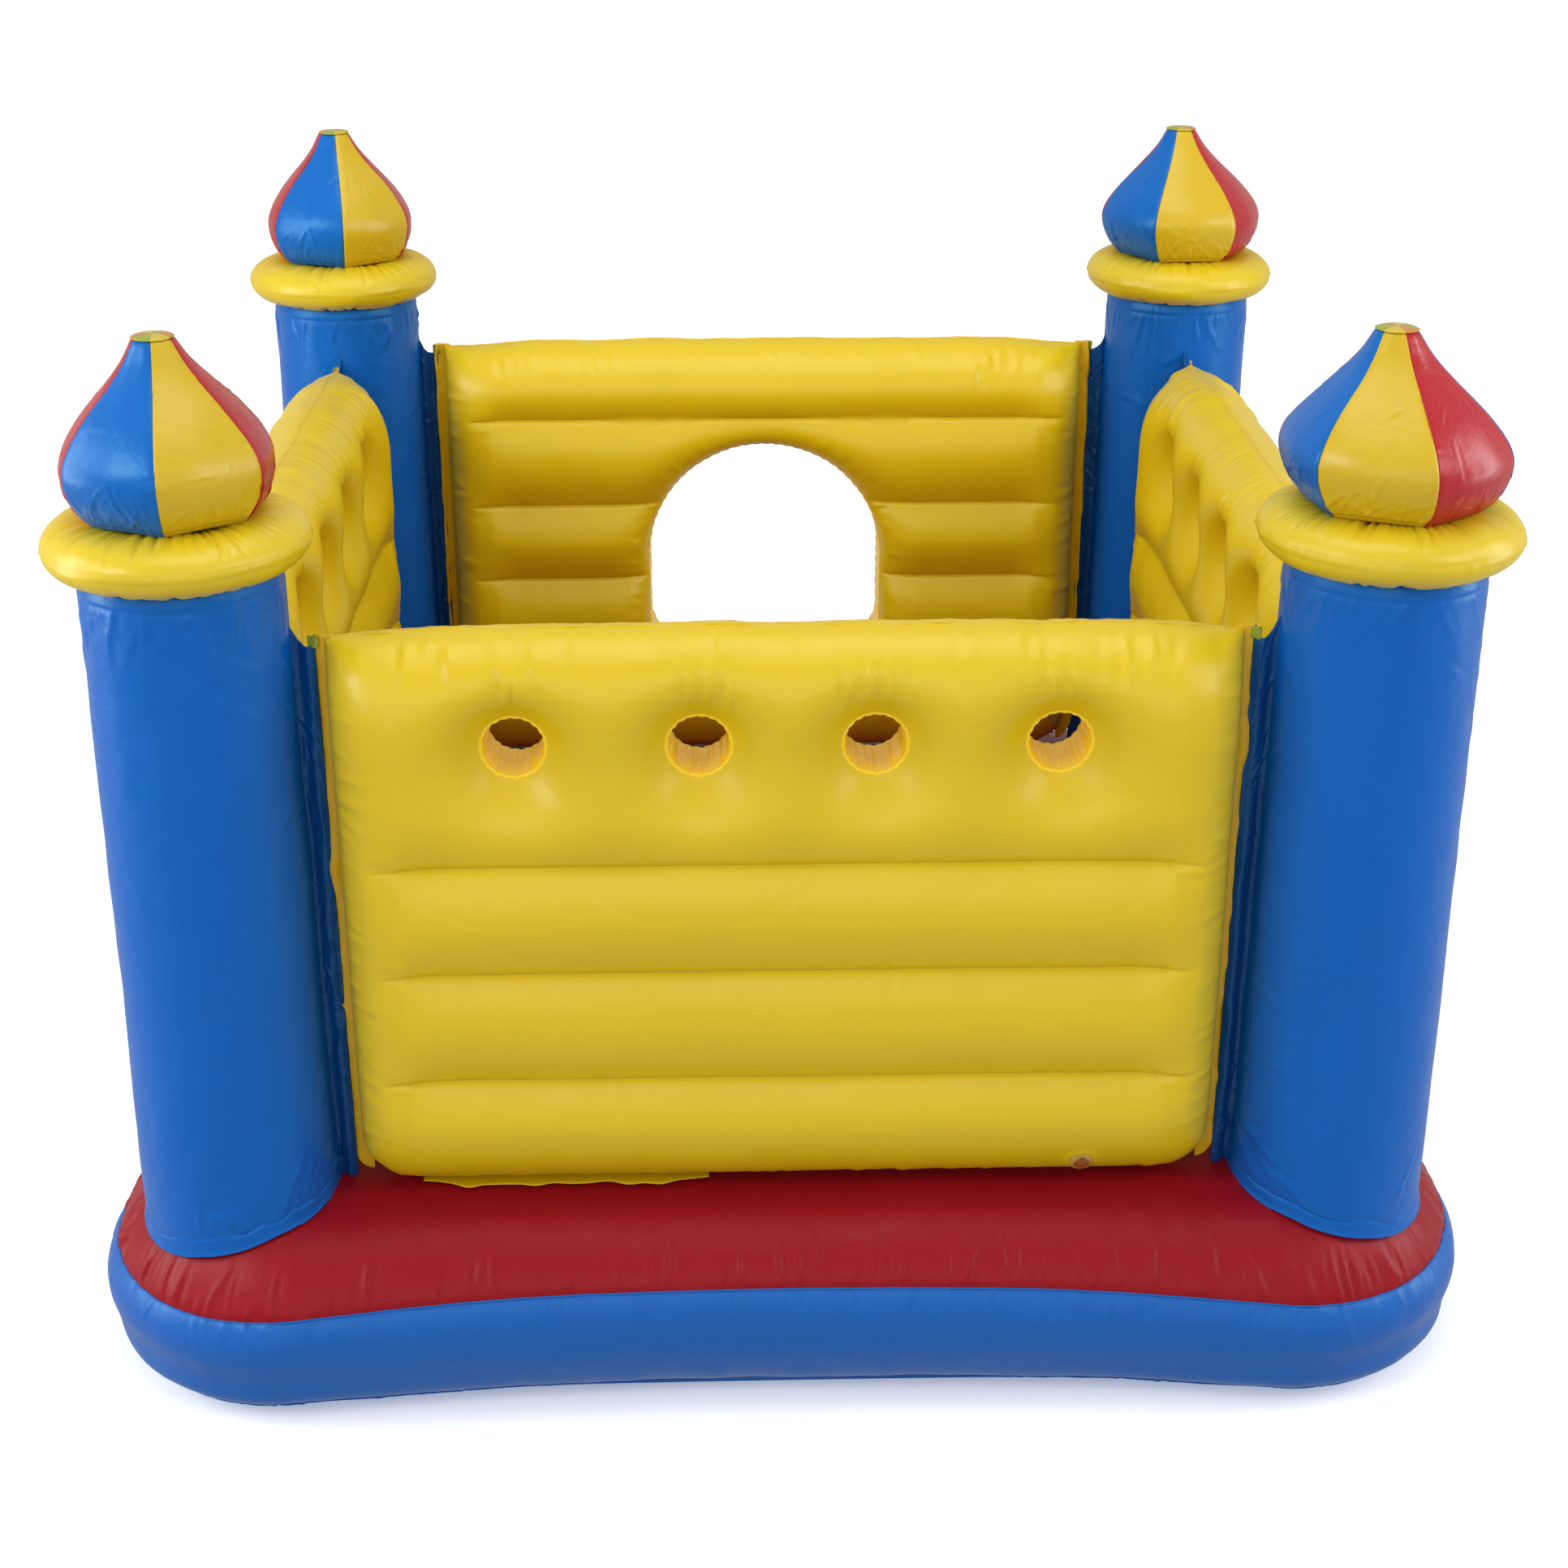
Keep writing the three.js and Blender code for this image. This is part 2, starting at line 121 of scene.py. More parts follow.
def spline(points, n):
    """Catmull-Rom curve through points, n samples evenly spread by length."""
    p = np.asarray(points, float)
    p = np.vstack([2 * p[0] - p[1], p, 2 * p[-1] - p[-2]])
    out = []
    for i in range(1, len(p) - 2):
        t = np.linspace(0, 1, 24, endpoint=False)[:, None]
        a, b, c, d = p[i - 1], p[i], p[i + 1], p[i + 2]
        out.append(0.5 * (2 * b + (c - a) * t + (2 * a - 5 * b + 4 * c - d) * t**2 + (3 * b - a - 3 * c + d) * t**3))
    out = np.vstack([*out, p[-2:-1]])
    s = np.r_[0, np.cumsum(np.linalg.norm(np.diff(out, axis=0), axis=1))]
    q = np.linspace(0, s[-1], n)
    return np.stack([np.interp(q, s, out[:, k]) for k in range(out.shape[1])], 1)


def curve_normals(c):
    """Left-hand normals of a plane curve."""
    d = np.gradient(c, axis=0)
    d /= np.maximum(np.linalg.norm(d, axis=1, keepdims=True), 1e-12)
    return np.stack([-d[:, 1], d[:, 0]], 1)


# ---------------------------------------------------------------- meshes
def grid_faces(nu, nv, wrap_u=False, wrap_v=False, offset=0):
    iu = np.arange(nu if wrap_u else nu - 1)
    iv = np.arange(nv if wrap_v else nv - 1)
    u, v = np.meshgrid(iu, iv, indexing="ij")
    u1, v1 = (u + 1) % nu, (v + 1) % nv
    f = np.stack([u * nv + v, u1 * nv + v, u1 * nv + v1, u * nv + v1], -1)
    return f.reshape(-1, 4) + offset


def build(name, verts, faces, materials, index=None, weld=0.0, outward=True):
    """A mesh object from one vertex array and one or more face arrays."""
    me = bpy.data.meshes.new(name)
    verts = np.ascontiguousarray(np.asarray(verts, np.float32).reshape(-1, 3))
    blocks = faces if isinstance(faces, list) else [faces]
    loops = np.concatenate([np.asarray(b, np.int32).ravel() for b in blocks])
    sizes = np.concatenate([np.full(len(b), np.shape(b)[1], np.int32) for b in blocks])
    starts = np.r_[0, np.cumsum(sizes)[:-1]].astype(np.int32)
    me.vertices.add(len(verts))
    me.vertices.foreach_set("co", verts.ravel())
    me.loops.add(len(loops))
    me.loops.foreach_set("vertex_index", loops)
    me.polygons.add(len(sizes))
    me.polygons.foreach_set("loop_start", starts)
    for m in materials if isinstance(materials, list) else [materials]:
        me.materials.append(m)
    if index is not None:
        me.polygons.foreach_set("material_index", np.asarray(index, np.int32))
    me.update(calc_edges=True)
    me.validate()
    bm = bmesh.new()
    bm.from_mesh(me)
    if weld:
        bmesh.ops.remove_doubles(bm, verts=bm.verts, dist=weld)
        bmesh.ops.dissolve_degenerate(bm, edges=bm.edges, dist=1e-7)
    loose = [v for v in bm.verts if not v.link_faces]
    if loose:
        bmesh.ops.delete(bm, geom=loose, context="VERTS")
    if outward:
        bmesh.ops.recalc_face_normals(bm, faces=bm.faces)
    for f in bm.faces:
        f.smooth = True
    bm.to_mesh(me)
    bm.free()
    o = bpy.data.objects.new(name, me)
    bpy.context.scene.collection.objects.link(o)
    return o


def thicken(o, thickness):
    """Gives an open sheet a thickness to its inner side."""
    mod = o.modifiers.new("skin", "SOLIDIFY")
    mod.thickness = thickness
    mod.offset = -1.0
    mod.use_even_offset = False
    dg = bpy.context.evaluated_depsgraph_get()
    me = bpy.data.meshes.new_from_object(o.evaluated_get(dg))
    o.modifiers.remove(mod)
    old = o.data
    o.data = me
    bpy.data.meshes.remove(old)
    return o


def flip(o):
    bm = bmesh.new()
    bm.from_mesh(o.data)
    bmesh.ops.reverse_faces(bm, faces=bm.faces)
    bm.to_mesh(o.data)
    bm.free()
    return o


def face_way(o, test):
    """Turns an open sheet over if test(centre, normal) says it faces the wrong way on average."""
    n = sum(1 if test(f.center, f.normal) else -1 for f in o.data.polygons)
    return o if n > 0 else flip(o)


def turn(p, angle):
    c, s = math.cos(angle), math.sin(angle)
    p = np.asarray(p, float)
    return np.stack([c * p[..., 0] - s * p[..., 1], s * p[..., 0] + c * p[..., 1], p[..., 2]], -1)


# ---------------------------------------------------------------- materials
def pvc(name, color, rough=0.34, vary=0.05, wrinkle=0.25, weave=0.0, spec=0.5, edge=None, streak=0.0, soft=0.0, tint=None, painted_glow=0.0):
    """Calendered PVC sheet: fine embossed grain, faint creasing and uneven polish."""
    m = bpy.data.materials.new(name)
    m.use_nodes = True
    nt = m.node_tree
    nt.nodes.clear()
    N, L = nt.nodes.new, nt.links.new
    out = N("ShaderNodeOutputMaterial")
    b = N("ShaderNodeBsdfPrincipled")
    L(b.outputs[0], out.inputs[0])
    b.inputs["Specular IOR Level"].default_value = spec
    if tint:
        b.inputs["Specular Tint"].default_value = (*tint, 1)
    if soft:
        b.inputs["Subsurface Weight"].default_value = soft
        b.inputs["Subsurface Radius"].default_value = (0.02, 0.012, 0.004)
        b.inputs["Subsurface Scale"].default_value = 0.6
    # painted light: the sheet glows faintly in its own colour, standing in for light that passes through thin vinyl
    if painted_glow:
        b.inputs["Emission Color"].default_value = (*[c * 0.9 for c in color], 1)
        b.inputs["Emission Strength"].default_value = painted_glow
    tc = N("ShaderNodeTexCoord")

    def noise(scale, detail=3, rough_=0.55, stretch=None, distortion=0.0):
        n = N("ShaderNodeTexNoise")
        n.inputs["Scale"].default_value = scale
        n.inputs["Detail"].default_value = detail
        n.inputs["Roughness"].default_value = rough_
        n.inputs["Distortion"].default_value = distortion
        if stretch:
            mp = N("ShaderNodeMapping")
            mp.inputs["Scale"].default_value = stretch
            L(tc.outputs["Object"], mp.inputs[0])
            L(mp.outputs[0], n.inputs["Vector"])
        else:
            L(tc.outputs["Object"], n.inputs["Vector"])
        return n

    # colour: slow drift of the tone, and slightly deeper fine specks where a small-scale noise runs high
    big = noise(3.2, 2)
    fine = noise(46.0, 4)
    ramp = N("ShaderNodeMix")
    ramp.data_type = "RGBA"
    lo = [max(0.0, c * (1 - vary)) for c in color]
    hi = [min(1.0, c * (1 + vary * 0.8)) for c in color]
    ramp.inputs["A"].default_value = (*lo, 1)
    ramp.inputs["B"].default_value = (*hi, 1)
    L(big.outputs["Fac"], ramp.inputs["Factor"])
    mix2 = N("ShaderNodeMix")
    mix2.data_type = "RGBA"
    mix2.inputs["B"].default_value = (*[c * (1 - vary * 1.6) for c in color], 1)
    mr = N("ShaderNodeMapRange")
    mr.inputs["From Min"].default_value = 0.56
    mr.inputs["From Max"].default_value = 0.80
    mr.inputs["To Max"].default_value = 0.8
    L(fine.outputs["Fac"], mr.inputs["Value"])
    L(mr.outputs[0], mix2.inputs["Factor"])
    L(ramp.outputs["Result"], mix2.inputs["A"])
    L(mix2.outputs["Result"], b.inputs["Base Color"])
    # polish
    rr = N("ShaderNodeMapRange")
    rr.inputs["From Min"].default_value = 0.3
    rr.inputs["From Max"].default_value = 0.7
    rr.inputs["To Min"].default_value = max(0.05, rough - 0.05)
    rr.inputs["To Max"].default_value = rough + 0.07
    pol = noise(19.0, 5, 0.6)
    L(pol.outputs["Fac"], rr.inputs["Value"])
    L(rr.outputs[0], b.inputs["Roughness"])
    # relief
    last = None

    def bump(height, distance, strength=1.0):
        nonlocal last
        bp = N("ShaderNodeBump")
        bp.inputs["Strength"].default_value = strength
        bp.inputs["Distance"].default_value = distance
        L(height, bp.inputs["Height"])
        if last is not None:
            L(last, bp.inputs["Normal"])
        last = bp.outputs[0]

    grain = noise(950.0, 2)
    bump(grain.outputs["Fac"], 0.00012, 0.8)
    if weave:
        wx = N("ShaderNodeTexWave")
        wx.bands_direction = "X"
        wx.inputs["Scale"].default_value = 120
        wx.inputs["Distortion"].default_value = 0.6
        wy = N("ShaderNodeTexWave")
        wy.bands_direction = "Y"
        wy.inputs["Scale"].default_value = 120
        wy.inputs["Distortion"].default_value = 0.6
        add = N("ShaderNodeMath")
        add.operation = "ADD"
        for w in (wx, wy):
            L(tc.outputs["Object"], w.inputs["Vector"])
        L(wx.outputs["Fac"], add.inputs[0])
        L(wy.outputs["Fac"], add.inputs[1])
        bump(add.outputs[0], 0.00006 * weave, 0.7)
    if wrinkle:
        w1 = noise(11.0, 4, 0.5, distortion=1.2)
        bump(w1.outputs["Fac"], 0.0022 * wrinkle, 1.0)
        w2 = noise(60.0, 3, 0.5, distortion=2.0)
        bump(w2.outputs["Fac"], 0.00045 * wrinkle, 1.0)
    if streak:
        st = noise(60.0, 2, 0.5, stretch=(1.0, 1.0, 0.07))
        bump(st.outputs["Fac"], 0.0006 * streak, 1.0)
    L(last, b.inputs["Normal"])
    return m


YELLOW = (0.735, 0.528, 0.004)
BLUE = (0.0010, 0.110, 0.500)
BLUE_BASE = (0.011, 0.108, 0.465)
RED = (0.285, 0.004, 0.010)

M = {
    "wall": pvc("wall_yellow_pvc", YELLOW, 0.33, 0.03, 0.30),
    # weld flange: painted light, an orange brighter than the wall yellow, standing in for light shining through the
    # thin welded sheet where it lies in shade
    "flange": pvc("weld_flange_orange_painted_light", (0.80, 0.48, 0.004), 0.30, 0.08, 0.9),
    # hole liners: painted light, a brighter yellow with a faint glow, standing in for light shining through the vinyl
    # into the shaded bores
    "liner": pvc("hole_liner_painted_glow", (0.92, 0.63, 0.012), 0.28, 0.05, 0.5, painted_glow=0.09),
    "collar": pvc("collar_yellow_pvc", (0.70, 0.520, 0.012), 0.33, 0.04, 0.35),
    "tower": pvc("tower_blue_pvc", BLUE, 0.33, 0.04, 0.75, weave=0.4, tint=(0.40, 0.92, 1.0)),
    "base": pvc("base_blue_pvc", BLUE_BASE, 0.36, 0.04, 0.35, weave=0.5, tint=(0.40, 0.92, 1.0)),
    "web": pvc("web_navy_pvc", (0.004, 0.062, 0.26), 0.26, 0.10, 1.6, tint=(0.40, 0.92, 1.0)),
    "deck": pvc("deck_red_pvc", RED, 0.38, 0.05, 0.55, weave=1.0, spec=0.30, tint=(1.0, 0.62, 0.62)),
    "floor": pvc("floor_red_pvc", (0.275, 0.006, 0.012), 0.40, 0.05, 0.5, weave=1.0, spec=0.35),
    "band": pvc("tension_band_pvc", (0.22, 0.008, 0.012), 0.45, 0.05, 0.4),
    "d_blue": pvc("dome_blue_pvc", (0.003, 0.118, 0.480), 0.28, 0.04, 0.6, tint=(0.40, 0.92, 1.0)),
    "d_yellow": pvc("dome_yellow_pvc", (0.62, 0.425, 0.010), 0.28, 0.05, 0.6),
    "d_red": pvc("dome_red_pvc", (0.42, 0.008, 0.014), 0.26, 0.05, 0.6),
    "tip_green": pvc("tip_patch_green", (0.30, 0.36, 0.020), 0.24, 0.10, 0.8),
    "tip_yellow": pvc("tip_patch_yellow", (0.58, 0.44, 0.020), 0.24, 0.06, 0.8),
    "tip_orange": pvc("tip_patch_orange", (0.52, 0.22, 0.020), 0.24, 0.10, 0.8),
    "plug": pvc("valve_plug_vinyl", (0.30, 0.085, 0.012), 0.28, 0.08, 0.3),
}


def clear_vinyl(name):
    m = bpy.data.materials.new(name)
    m.use_nodes = True
    nt = m.node_tree
    b = nt.nodes["Principled BSDF"]
    b.inputs["Roughness"].default_value = 0.16
    b.inputs["Transmission Weight"].default_value = 0.35
    b.inputs["IOR"].default_value = 1.45
    n = nt.nodes.new("ShaderNodeTexNoise")
    n.inputs["Scale"].default_value = 120.0
    mix = nt.nodes.new("ShaderNodeMix")
    mix.data_type = "RGBA"
    mix.inputs["A"].default_value = (0.74, 0.52, 0.10, 1)
    mix.inputs["B"].default_value = (0.62, 0.40, 0.06, 1)
    tc = nt.nodes.new("ShaderNodeTexCoord")
    nt.links.new(tc.outputs["Object"], n.inputs["Vector"])
    nt.links.new(n.outputs["Fac"], mix.inputs["Factor"])
    nt.links.new(mix.outputs["Result"], b.inputs["Base Color"])
    bp = nt.nodes.new("ShaderNodeBump")
    bp.inputs["Distance"].default_value = 0.0002
    nt.links.new(n.outputs["Fac"], bp.inputs["Height"])
    nt.links.new(bp.outputs[0], b.inputs["Normal"])
    return m


M["clear"] = clear_vinyl("valve_clear_vinyl")

# ---------------------------------------------------------------- base
HALF, CORNER_R = 0.875, 0.262
N_SIDE, N_ARC = 430, 146


def rounded_square(half, r, n_side, n_arc):
    """Points, outward normals and distance along from the nearest corner's middle."""
    p, n, dist = [], [], []
    c = half - r
    arc = r * math.pi / 2
    for q, (sx, sy) in enumerate([(1, 1), (-1, 1), (-1, -1), (1, -1)]):
        f = np.arange(n_arc) / n_arc
        a = (q + f) * math.pi / 2
        nn = np.stack([np.cos(a), np.sin(a)], 1)
        p.append(np.array([sx * c, sy * c]) + r * nn)
        n.append(nn)
        dist.append(np.abs(f - 0.5) * arc)
        f = np.arange(n_side) / n_side
        a1 = (q + 1) * math.pi / 2
        nn = np.array([math.cos(a1), math.sin(a1)])
        tt = np.array([-math.sin(a1), math.cos(a1)])
        start = np.array([sx * c, sy * c]) + r * nn
        p.append(start + np.outer(f * 2 * c, tt))
        n.append(np.tile(nn, (n_side, 1)))
        dist.append(arc / 2 + np.minimum(f, 1 - f) * 2 * c)
    return np.vstack(p), np.vstack(n), np.concatenate(dist)


OUT_P, OUT_N, OUT_D = rounded_square(HALF, CORNER_R, N_SIDE, N_ARC)
CORNERNESS = np.exp(-((OUT_D / 0.36) ** 2))
PLAN_OUT = -0.012 + 0.038 * CORNERNESS
PERIM = 8 * (HALF - CORNER_R) + TAU * CORNER_R
ARC_S = np.r_[0, np.cumsum(np.linalg.norm(np.diff(OUT_P, axis=0), axis=1))]

SECTION = [
    (0.061, 0.008), (0.026, 0.034), (0.003, 0.078), (-0.003, 0.114), (0.002, 0.150),
    (0.0195, 0.187), (0.047, 0.216), (0.088, 0.2385), (0.138, 0.250),
]
DECK_INSET = np.array([0.0, 0.0195, 0.047, 0.088, 0.138, 0.20, 0.26, 0.5])
DECK_Z = np.array([0.165, 0.187, 0.216, 0.2385, 0.250, 0.2535, 0.2545, 0.2545])


def plan_inset(x, y):
    """Distance in from the outer plan line of the base."""
    qx, qy = np.abs(x) - (HALF - CORNER_R), np.abs(y) - (HALF - CORNER_R)
    d = np.hypot(np.maximum(qx, 0), np.maximum(qy, 0)) + np.minimum(np.maximum(qx, qy), 0) - CORNER_R
    near = np.minimum(np.abs(x), np.abs(y))
    along = np.where(near > HALF - CORNER_R, 0.1, CORNER_R * math.pi / 4 + (HALF - CORNER_R) - near)
    return -d - 0.012 + 0.038 * np.exp(-((along / 0.36) ** 2))


def deck_height(x, y):
    return np.interp(plan_inset(x, y), DECK_INSET, DECK_Z)


section = spline(SECTION, 62)
i_seam = int(np.argmin(np.hypot(section[:, 0] - 0.0125, section[:, 1] - 0.175)))
sec_s = np.r_[0, np.cumsum(np.linalg.norm(np.diff(section, axis=0), axis=1))]
seam_s = sec_s[i_seam]
# outward direction of the section as (outwards, up)
tan = np.gradient(section, axis=0)
tan /= np.linalg.norm(tan, axis=1, keepdims=True)
sec_n = np.stack([tan[:, 1], tan[:, 0]], 1)  # inset grows inwards, so outwards is -inset


def base_point(sel):
    """The swept base surface at section samples sel, with folds at the welds."""
    sec, nn, ss = section[sel], sec_n[sel], sec_s[sel]
    s = ARC_S[:, None]
    v = (ss - seam_s)[None, :]
    rs = np.random.default_rng(11)
    items = []
    # short folds that cross the deck weld, closest at the corners
    corner_mid = [CORNER_R * math.pi / 4 + k * PERIM / 4 for k in range(4)]
    for k in range(4):
        for _ in range(46):
            s0 = corner_mid[k] + rs.normal(0, 0.20)
            up = rs.random() < 0.62
            half = rs.uniform(0.014, 0.05)
            v0 = half * 0.75 if up else -half * 0.6
            items.append((s0, v0, rs.normal(0, 0.22), half, rs.uniform(0.0028, 0.0055), rs.uniform(0.0006, 0.0022) * (1 if up else 0.7)))
        for _ in range(95):
            s0 = corner_mid[k] + PERIM / 8 + rs.uniform(-0.72, 0.72)
            half = rs.uniform(0.008, 0.042)
            items.append((s0, half * rs.uniform(0.6, 1.3) * (1 if rs.random() < 0.8 else -1), rs.normal(0, 0.10), half, rs.uniform(0.0022, 0.0042), rs.uniform(0.0004, 0.0019)))
        # folds up from the bottom weld
        for _ in range(34):
            s0 = corner_mid[k] + rs.normal(0, 0.33)
            half = rs.uniform(0.010, 0.03)
            items.append((s0, -seam_s + half * 0.7, rs.normal(0, 0.25), half, rs.uniform(0.002, 0.004), rs.uniform(0.0004, 0.0013)))
    h = creases(s, v, items, PERIM)
    # slow unevenness of the blown-up skin
    per = 60
    h = h + 0.0016 * vnoise(s / PERIM * per, v * 9 + 3, 21, per) * np.ones_like(v)
    h = h + 0.0007 * vnoise(s / PERIM * 240, v * 20 + 3, 22, 240)
    # ripples at the welds
    rip = vnoise(s / PERIM * 420, v * 0 + 1.5, 23, 420) + 0.6 * vnoise(s / PERIM * 760, v * 0 + 7.5, 24, 760)
    amp = (0.0003 + 0.0011 * CORNERNESS**1.5)[:, None]
    h = h + rip * amp * np.exp(-np.abs(v) / 0.012)
    h = h + rip * 0.8 * amp * np.exp(-np.abs(v + seam_s) / 0.010)
    # the weld itself pulls the skin in
    h = h - 0.0026 * np.exp(-np.abs(v) / 0.0055) - 0.0012 * np.exp(-np.abs(v + seam_s) / 0.005)
    out = PLAN_OUT[:, None] * np.clip(0.55 + sec[:, 1] / 0.22, 0, 1)[None, :]
    drop = (0.024 * CORNERNESS)[:, None] * np.exp(-(((sec[:, 1] - 0.178) / 0.055) ** 2))[None, :]
    out = out + (0.027 * CORNERNESS)[:, None] * np.exp(-(((sec[:, 1] - 0.022) / 0.038) ** 2))[None, :]
    rad = -sec[:, 0][None, :] + out + h * nn[:, 0][None, :]
    z = sec[:, 1][None, :] - drop + h * nn[:, 1][None, :]
    p = OUT_P[:, None, :] + OUT_N[:, None, :] * rad[..., None]
    return np.concatenate([p, z[..., None] * np.ones_like(p[..., :1])], -1)


n_band = len(OUT_P)
band = base_point(np.arange(0, i_seam + 1))
# flat seat of the pump valve on the back of the base
VB = np.array([0.450, 0.8695, 0.114])
r_v = np.hypot(band[..., 0] - VB[0], band[..., 2] - VB[2])
w_v = np.where(band[..., 1] > 0.7, 1 - sm(0.0165, 0.0235, r_v), 0)
band[..., 1] = band[..., 1] * (1 - w_v) + VB[1] * w_v
o = build("base_side_band_skin", band, grid_faces(n_band, band.shape[1], wrap_u=True), M["base"], outward=False)
face_way(o, lambda c, n: c.x * n.x + c.y * n.y > 0)
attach(o, "root")
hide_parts("base_side_band")

# bottom sheet
rim = band[:, 0, :]
rows = [rim]
for k, (ins, z) in enumerate([(0.058, 0.0035), (0.074, 0.0008), (0.096, 0.0), (0.16, 0.0), (0.30, 0.0)]):
    q = OUT_P - OUT_N * (ins - 0.0) + OUT_N * (PLAN_OUT * 0.5)[:, None] if ins < 0.2 else OUT_P * (HALF - ins) / HALF
    rows.append(np.c_[q, np.full(n_band, z)])
bot = np.stack(rows, 1)[::6]
nb, mb = bot.shape[:2]
verts = np.vstack([bot.reshape(-1, 3), [[0, 0, 0]]])
fan = np.stack([np.arange(nb) * mb + mb - 1, ((np.arange(nb) + 1) % nb) * mb + mb - 1, np.full(nb, nb * mb)], 1)
o = build("base_bottom_skin", verts, [grid_faces(nb, mb, wrap_u=True), fan], M["base"], outward=False)
face_way(o, lambda c, n: n.z < 0)
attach(o, "root")
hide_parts("base_bottom_sheet")

# deck: outer roll, flat ring, and the lip round the floor opening
deck_a = base_point(np.arange(i_seam, len(section)))
IN_P, IN_N, _ = rounded_square(0.5935, 0.060, N_SIDE, N_ARC)
edge = deck_a[:, -1, :]
rows = []
for g in np.linspace(0, 1, 16)[1:]:
    q = edge[:, :2] * (1 - g) + IN_P * g
    z = 0.250 + 0.0045 * math.sin(min(1.0, g / 0.55) * math.pi / 2) - 0.0045 * float(sm(0.75, 1.0, g))
    z = z + 0.0012 * vnoise(q[:, 0] * 14 + 40, q[:, 1] * 14 + 40, 31)
    rows.append(np.c_[q, z])
for d, z in ((0.0010, 0.2492), (0.0022, 0.2472), (0.0026, 0.2440)):
    rows.append(np.c_[IN_P - IN_N * d, np.full(n_band, z)])
deck = np.concatenate([deck_a, np.stack(rows, 1)], 1)
o = build("base_deck_skin", deck, grid_faces(n_band, deck.shape[1], wrap_u=True), M["deck"], outward=False)
face_way(o, lambda c, n: n.z > 0)
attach(o, "root")
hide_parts("base_deck")

# weld lines: a thin lip that stands out of each base weld
def ring_tube(name, centre, normal, up, radius, mat, sides=8, flat=1.0):
    a = np.arange(sides) / sides * TAU
    p = centre[:, None, :] + radius * (np.cos(a)[None, :, None] * normal[:, None, :] + flat * np.sin(a)[None, :, None] * up[:, None, :])
    return build(name, p, grid_faces(len(centre), sides, wrap_u=True, wrap_v=True), mat)


n3 = np.c_[OUT_N, np.zeros(n_band)]
u3 = np.tile([0, 0, 1.0], (n_band, 1))
lipw = 0.0006 * vnoise(ARC_S / PERIM * 300, 0 * ARC_S + 2.5, 41, 300)
c = band[:, -1, :] + n3 * (0.0006 + lipw[:, None])
o = ring_tube("deck_weld", c, n3, u3, 0.0017, M["base"], flat=0.55)
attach(o, "root")
k_low = int(np.argmax(section[:, 1] >= 0.0185))
c = band[:, k_low, :] + n3 * (0.0004 + 2 * lipw[:, None])
o = ring_tube("bottom_weld", c, n3, u3, 0.0026, M["base"], flat=0.45)
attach(o, "root")

# ---------------------------------------------------------------- bounce floor
FE = 0.590


def floor_height(x, y):
    ax, ay = np.abs(x), np.abs(y)
    d = FE - np.maximum(ax, ay)
    z = 0.2462 + 0.040 * np.sqrt(np.clip(1 - (1 - np.clip(d / 0.075, 0, 1)) ** 2, 0, 1))
    z = z + 0.007 * (1 - (x / FE) ** 2) * (1 - (y / FE) ** 2)
    g = np.zeros_like(z)
    for at in (-0.33, 0.0, 0.33):
        for c_ in (x, y):
            g = np.maximum(g, (1 - np.clip(np.abs(c_ - at) / 0.15, 0, 1)) ** 2.4)
    z = z - 0.0085 * g * sm(0.03, 0.15, d)
    z = z + 0.0011 * fbm(x * 9 + 50, y * 9 + 50, 51) * sm(0, 0.03, d)
    return z


line = np.linspace(-0.48, 0.48, 193)
X, Y = np.meshgrid(line, line, indexing="ij")
o = build("bounce_floor_pad", np.stack([X, Y, floor_height(X, Y)], -1), grid_faces(193, 193), M["floor"], outward=False)
face_way(o, lambda c, n: n.z > 0)
thicken(o, 0.0025)
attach(o, "floor")
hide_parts("bounce_floor")
for k, side in enumerate(("right", "back", "left", "front")):
    d = np.linspace(0, 0.11, 18)
    t = np.linspace(-1, 1, 161)
    D, T = np.meshgrid(d, t, indexing="ij")
    along, outw = T * (FE - D), FE - D
    p = turn(np.stack([outw, along, np.zeros_like(D)], -1), k * math.pi / 2)
    p[..., 2] = floor_height(p[..., 0], p[..., 1])
    o = build(f"floor_edge_{side}", p, grid_faces(18, 161), M["floor"], outward=False)
    face_way(o, lambda c, n: n.z > 0)
    thicken(o, 0.0022)
    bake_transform(o)
for node in ("floor_tension_bands",):
    ob = frame["nodes"][node]
    ob.data.materials.clear()
    ob.data.materials.append(M["band"])

# ---------------------------------------------------------------- towers, collars, domes
CT = 0.698
SEAMS = {"front_left": 276, "front_right": 217, "back_left": 281, "back_right": 243}
SIGN = {"front_left": (-1, -1), "front_right": (1, -1), "back_left": (-1, 1), "back_right": (1, 1)}
DOME_R = {"front_left": 1.050, "front_right": 1.115, "back_left": 1.030, "back_right": 1.105}
DOME_LEAN = {"front_left": -0.003, "front_right": -0.015, "back_left": 0.0, "back_right": -0.011}


